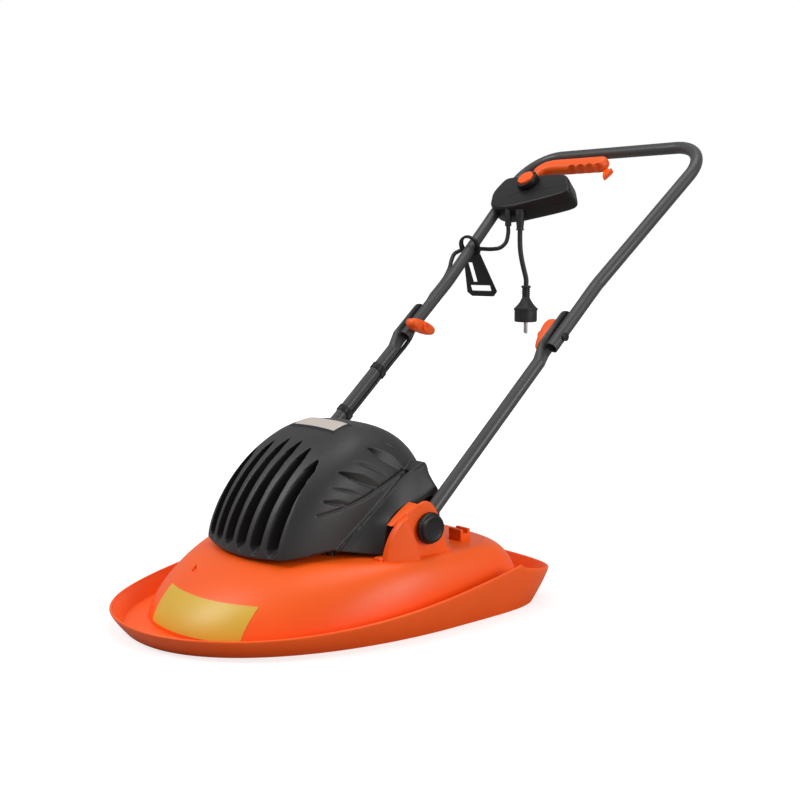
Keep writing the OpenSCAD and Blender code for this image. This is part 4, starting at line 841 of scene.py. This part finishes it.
class MOWER_OT_stage(bpy.types.Operator):
    """Camera, floor, white surround and soft studio light."""

    bl_idname = "mower.stage"
    bl_label = "Stage"

    def execute(self, context):
        scene = context.scene
        scene.view_settings.view_transform = "Standard"
        self.camera(scene)
        self.floor()
        self.surround(scene)
        for lamp in LAMPS:
            self.lamp(scene, *lamp)
        return {"FINISHED"}

    def camera(self, scene):
        """The camera, where the photograph was taken from."""
        camera = bpy.data.objects.new("camera", bpy.data.cameras.new("camera"))
        back, right = CAMERA_BACK.normalized(), CAMERA_RIGHT.normalized()
        turn = Matrix((right, back.cross(right), back)).transposed()
        camera.matrix_world = Matrix.Translation(CAMERA_PLACE) @ turn.to_4x4()
        camera.data.sensor_width = 36
        camera.data.lens = sizes().camera_lens / MM
        camera.data.clip_start, camera.data.clip_end = 0.01, 60
        scene.collection.objects.link(camera)
        scene.camera = camera

    def floor(self):
        """White paper that takes the mower's shadow and glows to white further off."""
        floor = make("floor", [(-9, -9, 0), (9, -9, 0), (9, 9, 0), (-9, 9, 0)], [(0, 1, 2, 3)])
        paper = Finish("floor_paper")
        broad = paper.noise(3, 3)
        seen = paper.node("ShaderNodeLightPath", out="Is Camera Ray")
        away = paper.node("ShaderNodeVectorMath", {"operation": "LENGTH"}, {0: paper.place}, out="Value")
        glow = seen * (((away - 0.62) * 2.2).clamp() + 0.7)
        paper.set(Base_Color=paper.mix(broad, (0.4, 0.4, 0.4, 1), (0.43, 0.43, 0.43, 1)), Roughness=0.9)
        paper.set(Specular_IOR_Level=0.05, Emission_Color=paper.mix(glow, BLACK, WHITE), Emission_Strength=1.0)
        floor.data.materials.append(paper.material)

    def surround(self, scene):
        """A surround that is seen as white and lights more softly."""
        scene.world = bpy.data.worlds.new("surround")
        scene.world.use_nodes = True
        tree = scene.world.node_tree
        light, seen = tree.nodes["Background"], tree.nodes.new("ShaderNodeBackground")
        for node, strength in ((light, 0.42), (seen, 1.0)):
            node.inputs["Color"].default_value = WHITE
            node.inputs["Strength"].default_value = strength
        ray, pick = tree.nodes.new("ShaderNodeLightPath"), tree.nodes.new("ShaderNodeMixShader")
        for i, source in enumerate((ray.outputs["Is Camera Ray"], light.outputs[0], seen.outputs[0])):
            tree.links.new(source, pick.inputs[i])
        tree.links.new(pick.outputs[0], tree.nodes["World Output"].inputs[0])

    def lamp(self, scene, name, place, size, power):
        """A round lamp turned to the mower."""
        lamp = bpy.data.lights.new(name, "AREA")
        lamp.shape, lamp.size, lamp.energy = "DISK", size, power
        hung = bpy.data.objects.new(name, lamp)
        hung.location = place
        hung.rotation_euler = (LAMP_AIM - Vector(place)).to_track_quat("-Z", "Y").to_euler()
        hung.visible_camera = False
        scene.collection.objects.link(hung)


LEAD = [
    (-112, 346, 520), (-112, 346, 506), (-111, 346, 490), (-109, 347, 474),
    (-106, 349, 458), (-103, 351, 444), (-102, 352, 436), (-102, 352, 427),
]
UPPER_CABLE = [
    (-134, 608, -12), (-134, 600, -21), (-136, 588, -30), (-144, 577, -33), (-156, 569, -29),
    (-169, 563, -23), (-182, 556, -16), (-191, 547, -9), (-194.5, 536, -4), (-193.5, 524, 0),
    (-187.5, 508, 0), (-178.5, 492, 0), (-172, 474, 0), (-169, 456, 0), (-169, 430, 0),
]
FOLD_CABLE = [
    (-169, 430, 0), (-169, 423, 0), (-171, 414, -3), (-174, 398, -8), (-175, 380, -13), (-173, 362, -17),
    (-169, 342, -20), (-164, 322, -18), (-160, 304, -15), (-159, 288, -14), (-159, 274, -14),
]
LOWER_CABLE = [(-159, 274, -14), (-159, 220, -14), (-159, 180, -14), (-159, 137, -14)]
TILT_CABLE = [
    (-159, -7.2, 208.8), (-159, -13.9, 202.7), (-156, -19.2, 188.8), (-148, -18, 173.9),
    (-136, -10.9, 157.9), (-119, -1.9, 145.4), (-102, 5.4, 136.4), (-86, 7.9, 130), (-74, 4.7, 126),
    (-69, -2, 125), (-69, -11, 125),
]


class MOWER_OT_cords(bpy.types.Operator):
    """Mains lead with its plug, and the motor cable in its four lengths."""

    bl_idname = "mower.cords"
    bl_label = "Cords"

    def execute(self, context):
        self.lead(self.plug())
        upper, lower = smooth_path(from_handle(UPPER_CABLE)), smooth_path(from_handle(LOWER_CABLE))
        fold, tilt = smooth_path(from_handle(FOLD_CABLE)), smooth_path(from_part(TILT_CABLE))
        put(self.cable("motor_cable_top", upper), "upper_handle", "cord_rubber", "motor_cable_upper")
        put(self.cable("motor_cable_leg", lower), "lower_handle", "cord_rubber", "motor_cable_lower")
        self.bend("motor_cable_at_fold", fold, "motor_cable_fold", "upper_handle", "lower_handle")
        self.bend("motor_cable_at_pivot", tilt, "motor_cable_tilt", "lower_handle", "deck")
        return {"FINISHED"}

    def lead(self, plug):
        """The mains lead, hanging from the switch box to its plug."""
        line = smooth_path(from_part(LEAD), 12)
        curve = bpy.data.curves.new("mains_lead_cord", "CURVE")
        curve.dimensions = "3D"
        curve.bevel_depth = sizes().lead / 2
        curve.bevel_resolution = 6
        curve.use_fill_caps = True
        spline = curve.splines.new("POLY")
        spline.points.add(len(line) - 1)
        for point, place in zip(spline.points, line):
            point.co = (*place, 1)
        lead = bpy.data.objects.new("mains_lead_cord", curve)
        bpy.context.scene.collection.objects.link(lead)
        put(lead, "upper_handle", "cord_rubber", "mains_lead")
        float(np.linalg.norm(np.diff(line, axis=0), axis=1).sum())

    def cable(self, name, line):
        """A length of motor cable."""
        return make(name, *sweep(line, sizes().cable / 2))

    def bend(self, name, line, node, first, second):
        """A length of cable that crosses a joint."""
        cable = self.cable(name, line)
        cover(cable, "cord_rubber")
        settle(soften(cable))
        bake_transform(cable)
        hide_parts(node)

    def plug(self):
        """The plug: flange, ribbed neck, swelling cone, rim and pin face."""
        profile = [(0.01, 0), (6.4, 0), (7.8, 0.6), (8, 1.4), (8, 3), (7.6, 3.8), (6.3, 4.2)]
        for k in range(4):
            z = 5.2 + k * 3.6
            profile += [(6.2, z), (7.0, z + 0.7), (7.1, z + 1.7), (6.2, z + 2.5)]
        profile += [(6.8, 20.5), (8.4, 24), (11.0, 28.5), (14.5, 33), (17.6, 36.2), (18.6, 37.4), (18.9, 38)]
        profile += [(20, 38.1), (20.4, 38.6), (20.4, 41.4), (20, 42), (19.2, 42.2), (19.2, 43), (19.3, 58)]
        profile += [(18.9, 60.6), (17.6, 61.7), (15.5, 62), (0.01, 62)]
        points, faces = lathe([(r, -z) for r, z in profile])
        piece = make("plug_body", from_part(points + LEAD[-1]), faces)
        return put(piece, "upper_handle", "cord_rubber", "mains_plug")


class MOWER_OT_deck(bpy.types.Operator):
    """Deck shell with its yokes and catches, and the blank plate on its front."""

    bl_idname = "mower.deck"
    bl_label = "Deck"

    def execute(self, context):
        pieces = [carve(deck_skin(), self.mark())]
        for side in (1, -1):
            pieces += yoke(side) + [catch(side)]
        deck = join(pieces, "deck_body")
        put(deck, "deck", "orange_plastic", "deck_shell")
        self.plate()
        return {"FINISHED"}

    def mark(self):
        """Cutter of the small three-cornered recess on the dome's front slope."""
        corners = np.array([(-46, -142, 71), (-40, -154, 65.5), (-23, -154.5, 66)])
        out = np.array((-0.1, -0.72, 0.69)) * 5
        return on_deck("mark", loft([corners - out * 0.5, corners + out]))

    def plate(self):
        """The blank yellow plate, lying on the dome's front slope."""
        rows, columns = 22, 48
        heights = np.linspace(0.05, 0.52, rows)
        turn = [np.linspace(-0.18 - 0.13 * h, 0.53, columns) - math.pi / 2 for h in heights]
        skins = []
        for inset, lift in ((-0.5, 0.4), (0.3, -0.1)):
            skins += [dome_ring(t, h, inset, lift) for t, h in zip(turn, heights)]
        under = rows * columns
        index = np.arange(under).reshape(rows, columns)
        edge = np.concatenate([index[:, 0], index[-1, 1:], index[-2::-1, -1], index[0, -2:0:-1]]).tolist()
        faces = grid_faces(rows, columns)
        faces += [(a, b, b + under, a + under) for a, b in zip(edge, edge[1:] + edge[:1])]
        plate = on_deck("yellow_blank_plate", (np.vstack(skins), faces))
        put(plate, "deck", "orange_plastic", finish="yellow_plate")


POST_PROFILE = [(0.01, 90.3), (5.5, 90.3), (6.2, 140), (0.01, 140)]
POST_PLACES = [(-88, -20), (-88, 125), (88, -20), (88, 125)]


class MOWER_OT_hood(bpy.types.Operator):
    """Motor hood with its slots and leaves, and the blank badge plate on its crown."""

    bl_idname = "mower.hood"
    bl_label = "Hood"

    def execute(self, context):
        put(hood(), "deck", "cover_plastic", "motor_cover")
        posts = []
        points, faces = lathe(POST_PROFILE, 24)
        for x, y in POST_PLACES:
            posts.append(on_deck("post", (points + (x, y, 0), faces)))
        put(join(posts, "hood_posts"), "deck", "cover_plastic")
        self.badge()
        return {"FINISHED"}

    def badge(self):
        """The blank badge plate in its dark frame."""
        rows, columns = 14, 30
        for name, grow, lift, slot, finish in (
            ("badge_frame", 3.0, 1.6, "dark_plastic", "dark_plastic"),
            ("badge_blank", 0.0, 2.0, "cover_plastic", "badge_plate"),
        ):
            front = np.array([(-48 - grow, 17 - grow), (48 + grow, 17 - grow)])
            back = np.array([(-44 - grow, 47 + grow), (44 + grow, 47 + grow)])
            points = []
            for v in np.linspace(0, 1, rows):
                for u in np.linspace(0, 1, columns):
                    a, b = front[0] + (front[1] - front[0]) * u, back[0] + (back[1] - back[0]) * u
                    x, y = a + (b - a) * v
                    inside = min(u, 1 - u, v, 1 - v)
                    points.append((x, y, self.crown(x, y) + lift * min(1, inside * 40)))
            plate = on_deck(name, (points, grid_faces(rows, columns)))
            put(plate, "deck", slot, finish=finish)

    def crown(self, x, y):
        """Height of the hood's top at a place seen from above."""
        low, high, edge = 120.0, CROWN_Z, hood_edge(y)
        for _ in range(40):
            z = (low + high) / 2
            h = (z - edge) / (CROWN_Z - edge)
            half_w, reach, n = hood_plan(h, y < CROWN_Y)
            inside = (abs(x) / half_w) ** n + (abs(y - CROWN_Y) / reach) ** n < 1 and y > hood_face(x, h)
            low, high = (z, high) if inside else (low, z)
        return low


class MOWER_OT_handle(bpy.types.Operator):
    """Handle tubes with their bolts, bushes and cable clips."""

    bl_idname = "mower.handle"
    bl_label = "Handle"

    def execute(self, context):
        dress("tube_paint", "upper_tube", "lower_tube_left", "lower_tube_right", edge=0)
        dress("bush_plastic", "pivot_bushes", edge=0.3)
        dress("steel", "pivot_bolts", edge=0.4)
        dress("steel", "fold_bolts", edge=0.4, finish="black_steel")
        dress("dark_plastic", "cable_clips", edge=0.2)
        return {"FINISHED"}


class MOWER_OT_knobs(bpy.types.Operator):
    """Pivot knobs on the yokes and wing knobs at the fold."""

    bl_idname = "mower.knobs"
    bl_label = "Knobs"

    def execute(self, context):
        for side, word in ((1, "left"), (-1, "right")):
            knob = self.pivot_knob(side, "pivot_grip_" + word)
            put(knob, "pivot_knob_" + word, "dark_plastic", "pivot_knob_" + word)
        self.wing("left", 149.2, -1, math.radians(15))
        self.wing("right", -145.3, 1, math.radians(-63))
        return {"FINISHED"}

    def pivot_knob(self, side, name):
        """A round grip: fluted rim, groove and dished cap."""
        profile = [(0.01, 0), (19.6, 0), (20.6, 0.9), (20.8, 2), (20.8, 5.4), (20.3, 6.4), (18.9, 6.8)]
        profile += [(18.4, 7.2), (18.4, 9.8), (17.9, 11.2), (16.4, 12), (14.4, 12), (13.6, 11.5)]
        profile += [(12.6, 11.1), (0.01, 10.9)]
        points, faces = lathe(profile, 180)
        turn = np.arctan2(points[:, 1], points[:, 0])
        flute = np.where(np.hypot(points[:, 0], points[:, 1]) > 20, 1 + 0.012 * np.cos(30 * turn), 1)
        y, z = points[:, 0] * flute, points[:, 1] * flute
        places = np.stack([side * (173.1 + points[:, 2]), PIVOT_Y + y, PIVOT_Z + z], 1)
        return make(name, from_part(places), faces)

    def wing(self, word, face, way, turn):
        """A wing knob: an oval cup, open towards the tube, with its boss inside and a round cap outside."""
        angle = turns(64)
        rings = []
        cup = [(21.0, 30, 8), (20.6, 40, 13.5), (19.2, 47, 17), (16, 52, 19.2), (10, 54, 20), (4, 52.5, 19.4)]
        cup += [(0.6, 50, 18.4), (0, 48, 16.6), (0.5, 46.4, 15.2), (6, 47.6, 15.8), (15, 46, 15)]
        cup += [(17.6, 41, 12), (18.2, 30, 8)]
        for deep, length, wide in cup:
            a = length / 2 * signed_power(np.cos(angle), 0.8)
            b = wide / 2 * signed_power(np.sin(angle), 0.8)
            rings.append(np.stack([np.full(64, deep), a, b], 1))
        pieces = [make("cup", *self.placed(loft(rings), face, way, turn))]
        for profile in (
            [(4.2, 0.4), (7, 0.4), (7.5, 1), (7.5, 18.4), (4.2, 18.4)],
            [(3.6, 20.4), (6.8, 20.4), (6.8, 23), (6.3, 23.8), (5.2, 24), (4.1, 23.7), (3.6, 22.9)],
        ):
            points, faces = lathe(profile, 40)
            pieces.append(make("boss", *self.placed((points[:, [2, 0, 1]], faces), face, way, turn)))
        whole = join(pieces, "wing_grip_" + word)
        put(whole, "wing_knob_" + word, "orange_plastic", "wing_knob_" + word)

    def placed(self, form, face, way, turn):
        """A form about the fold bolt, turned with its knob and put on the tube's inner face."""
        points, faces = form
        deep, a, b = points.T
        along = FOLD_S + a * math.cos(turn) - b * math.sin(turn)
        above = a * math.sin(turn) + b * math.cos(turn)
        return from_handle(np.stack([face + way * deep, along, above], 1)), faces


BOX_SHARES = [
    (0.1, 0.09), (0, 0.5), (0.02, 0.93), (0.08, 0.98), (0.53, 1), (0.75, 0.98), (0.82, 0.88), (0.965, 0.48),
    (0.93, 0.38), (0.76, 0.25), (0.42, 0.04), (0.26, 0),
]
BOX_UPPER = [(0.1, 0.5), (0.5, 0), (12.5, 0), (15, 0.6), (16.8, 2), (17.7, 4), (18, 6.5)]
BOX_LOWER = [(-20, 6.5), (-19.6, 4), (-18.4, 2), (-16, 0.7), (-13, 0), (-0.5, 0), (-0.1, 0.5)]
BOX_TOP = 18
SEAM_SHARES = [(0.27, 0.07), (0.27, 0.3), (0.35, 0.43), (0.58, 0.5), (0.74, 0.56), (0.9, 0.62)]
LEVER_WINDOW = [(-156.5, 664.5), (-109, 664.5), (-109, 749.5), (-156.5, 749.5)]
COIL_R, COIL_WIRE_R, COIL_TURNS = 7.7, 0.9, 4


class MOWER_OT_switch_box(bpy.types.Operator):
    """Switch box halves, collar, relief, outlet and what is inside the box."""

    bl_idname = "mower.switch_box"
    bl_label = "Switch box"

    def execute(self, context):
        top = self.half("box_upper", BOX_UPPER, -1, 15.5)
        seam = smooth_path([(BOX_X + BOX_W * u, BOX_S + BOX_L * v, BOX_TOP) for u, v in SEAM_SHARES], 8)
        carve(top, on_handle("seam", sweep(seam, 0.55, 8)))
        put(top, "upper_handle", "dark_plastic", "switch_box_top")
        base = self.half("box_lower", BOX_LOWER, -17.5, 1)
        put(base, "upper_handle", "dark_plastic", "switch_box_base")
        dress("dark_plastic", "button_collar", edge=1.6)
        dress("dark_plastic", "microswitch", edge=0.4)
        dress("cord_rubber", "lead_relief", "cable_outlet", "cable_gland", edge=0.3)
        dress("steel", "box_screws", "lever_pin", "lever_spring", "plug_pins", edge=0.3)
        self.spring()
        return {"FINISHED"}

    def spring(self):
        """The lock button's return spring."""
        turn, rise = np.linspace(0, COIL_TURNS * 2 * math.pi, 120), np.linspace(19.2, 26.8, 120)
        line = np.stack([BUTTON_X + COIL_R * np.cos(turn), BUTTON_S + COIL_R * np.sin(turn), rise], 1)
        coil = on_handle("button_coil", sweep(line, COIL_WIRE_R, 10))
        put(coil, "upper_handle", "steel", "button_spring")
        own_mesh(coil)

    def outline(self, inset, radius):
        flat = (np.array(BOX_SHARES) - 0.5) * (BOX_W - 2 * inset, BOX_L - 2 * inset)
        return rounded(flat, radius) + (BOX_X + BOX_W / 2, BOX_S + BOX_L / 2)

    def half(self, name, levels, low, high):
        """One half of the box: a rounded shell with its seat on the leg, lever window and button hole."""
        rings = [np.insert(self.outline(inset, 11), 2, level, axis=1) for level, inset in levels]
        piece = on_handle(name, loft(rings))
        x, sway, climb = -LEG_X + STEP_X, math.sin(SPLAY), math.cos(SPLAY)
        leg = [(x - t * sway, SPLAY_S + t * climb, 0) for t in (100, 200, 300)]
        for tool, form in (
            ("hollow", prism(self.outline(5, 8), low, high)),
            ("seat", sweep(leg, TUBE_R + 0.1, 40)),
            ("window", prism(LEVER_WINDOW, -10.2, 9.2)),
            ("hole", prism(circle(6.4, 32, (BUTTON_X, BUTTON_S)), 0, 30)),
        ):
            carve(piece, on_handle(tool, form))
        return piece


LEVER_ROUTE = [
    (-134, 671, -0.5), (-137, 692, -0.5), (-140, 708, 0.6), (-137, 723, 2.4), (-126, 736, 3.4),
    (-108, 740, 3.8), (-80, 740, 3.8), (-50, 740, 3.8), (-20, 740, 3.8), (8, 740, 3.8),
]
LEVER_BUD = [(-6.2, 5), (-1, 2), (4.5, 6), (6.3, 2), (4.5, -6), (1, -15.5), (-3.5, -8), (-6.3, -1)]
BUTTON_PROFILE = [
    (0.01, -21), (5.9, -21), (5.9, 10), (14.3, 10), (14.4, 13), (13.9, 14.2), (12.6, 14.9), (8, 15), (0.01, 15),
]


class MOWER_OT_controls(bpy.types.Operator):
    """Start lever with its finger grooves and leaf, and the lock button."""

    bl_idname = "mower.controls"
    bl_label = "Controls"

    def execute(self, context):
        put(self.lever(), "start_lever", "orange_plastic", "start_lever")
        points, faces = lathe(BUTTON_PROFILE)
        button = on_handle("button_cap", (points + (BUTTON_X, BUTTON_S, BOX_TOP), faces))
        put(button, "lock_button", "orange_plastic", "lock_button")
        return {"FINISHED"}

    def lever(self):
        """The lever: a rounded grip along the tube's bend, four finger grooves and the leaf at its end."""
        line = smooth_path(LEVER_ROUTE, 8)
        along = np.gradient(line, axis=0)[:, :2]
        along /= np.linalg.norm(along, axis=1)[:, None]
        angle = turns(40)
        rings = []
        for i, (place, (tx, ts)) in enumerate(zip(line, along)):
            u = i / (len(line) - 1)
            end = math.sqrt(max(0.03, 1 - max(0, (u - 0.95) / 0.05) ** 2)) * min(1, 0.6 + u * 12)
            grown = min(1, max(0, (u - 0.25) / 0.12))
            wide, tall = (11 + 2 * grown) * end, (7.4 + 4.2 * grown) * end
            a, b = wide * signed_power(np.cos(angle), 0.78), tall * signed_power(np.sin(angle), 0.78)
            rings.append(np.stack([place[0] - ts * a, place[1] + tx * a, place[2] + b], 1))
        grip = on_handle("grip", loft(rings))
        for k in range(4):
            carve(grip, on_handle("groove", prism(circle(11, 40, (-2 - 19 * k, 721)), -20, 25)))
        remould(grip, 0.0006, 3)
        outline = rounded(np.array(LEVER_BUD) * 1.15, 2.5) + (13, 727.5)
        bud = settle(bevel(on_handle("bud", prism(outline, -7.5, 0)), 1.4))
        stem = on_handle("stem", sweep([(5, 735, -3), (10, 731, -3.6), (13, 727, -4.2)], 3))
        return join([grip, bud, stem], "lever_grip")


class MOWER_OT_hook(bpy.types.Operator):
    """Cable hook on the far leg."""

    bl_idname = "mower.hook"
    bl_label = "Hook"

    def execute(self, context):
        dress("dark_plastic", "cable_hook", edge=0.7)
        return {"FINISHED"}


class MOWER_OT_motor(bpy.types.Operator):
    """Motor inside the hood: core, windings, brushes, bearings and their fixings."""

    bl_idname = "mower.motor"
    bl_label = "Motor"

    def execute(self, context):
        dress("aluminium", "motor_plate", "brush_bracket", edge=0.4)
        dress("core_steel", "stator_core", "armature_core", edge=0)
        dress("copper", "field_coils", "armature_coils", edge=0.6)
        dress("brass", "brush_holders", edge=0.2)
        dress("copper", "commutator", edge=0)
        dress("carbon", "carbon_brushes", edge=0.2)
        steel = ("lower_bearing", "upper_bearing", "motor_bolts", "motor_shaft", "cover_screws", "plate_screws")
        dress("steel", *steel, edge=0.3)
        return {"FINISHED"}


class MOWER_OT_cutting_gear(bpy.types.Operator):
    """Impeller, spacers, blade, washer and bolt under the deck."""

    bl_idname = "mower.cutting_gear"
    bl_label = "Cutting gear"

    def execute(self, context):
        dress("dark_plastic", "impeller", "height_spacers", edge=0.5)
        dress("steel", "cutting_blade", "blade_washer", "blade_bolt", edge=0.4)
        return {"FINISHED"}


OPERATORS = (
    MOWER_OT_stage,
    MOWER_OT_cords,
    MOWER_OT_deck,
    MOWER_OT_hood,
    MOWER_OT_handle,
    MOWER_OT_knobs,
    MOWER_OT_switch_box,
    MOWER_OT_controls,
    MOWER_OT_hook,
    MOWER_OT_motor,
    MOWER_OT_cutting_gear,
)


class MOWER_PT_panel(bpy.types.Panel):
    """Settings and builders of the hover mower."""

    bl_idname = "MOWER_PT_panel"
    bl_label = "Hover mower"
    bl_space_type = "VIEW_3D"
    bl_region_type = "UI"
    bl_category = "Mower"

    def draw(self, context):
        for settings in (context.scene.mower_colours, context.scene.mower_sizes):
            for key in settings.__annotations__:
                self.layout.prop(settings, key)
        for operator in OPERATORS:
            self.layout.operator(operator.bl_idname)


CLASSES = (MowerColours, MowerSizes, *OPERATORS, MOWER_PT_panel)


def register():
    for cls in CLASSES:
        bpy.utils.register_class(cls)
    bpy.types.Scene.mower_colours = bpy.props.PointerProperty(type=MowerColours)
    bpy.types.Scene.mower_sizes = bpy.props.PointerProperty(type=MowerSizes)


def unregister():
    del bpy.types.Scene.mower_sizes
    del bpy.types.Scene.mower_colours
    for cls in reversed(CLASSES):
        bpy.utils.unregister_class(cls)


def main():
    register()
    for operator in OPERATORS:
        group, name = operator.bl_idname.split(".")
        getattr(getattr(bpy.ops, group), name)()
    bpy.context.view_layer.update()


if __name__ == "__main__":
    main()
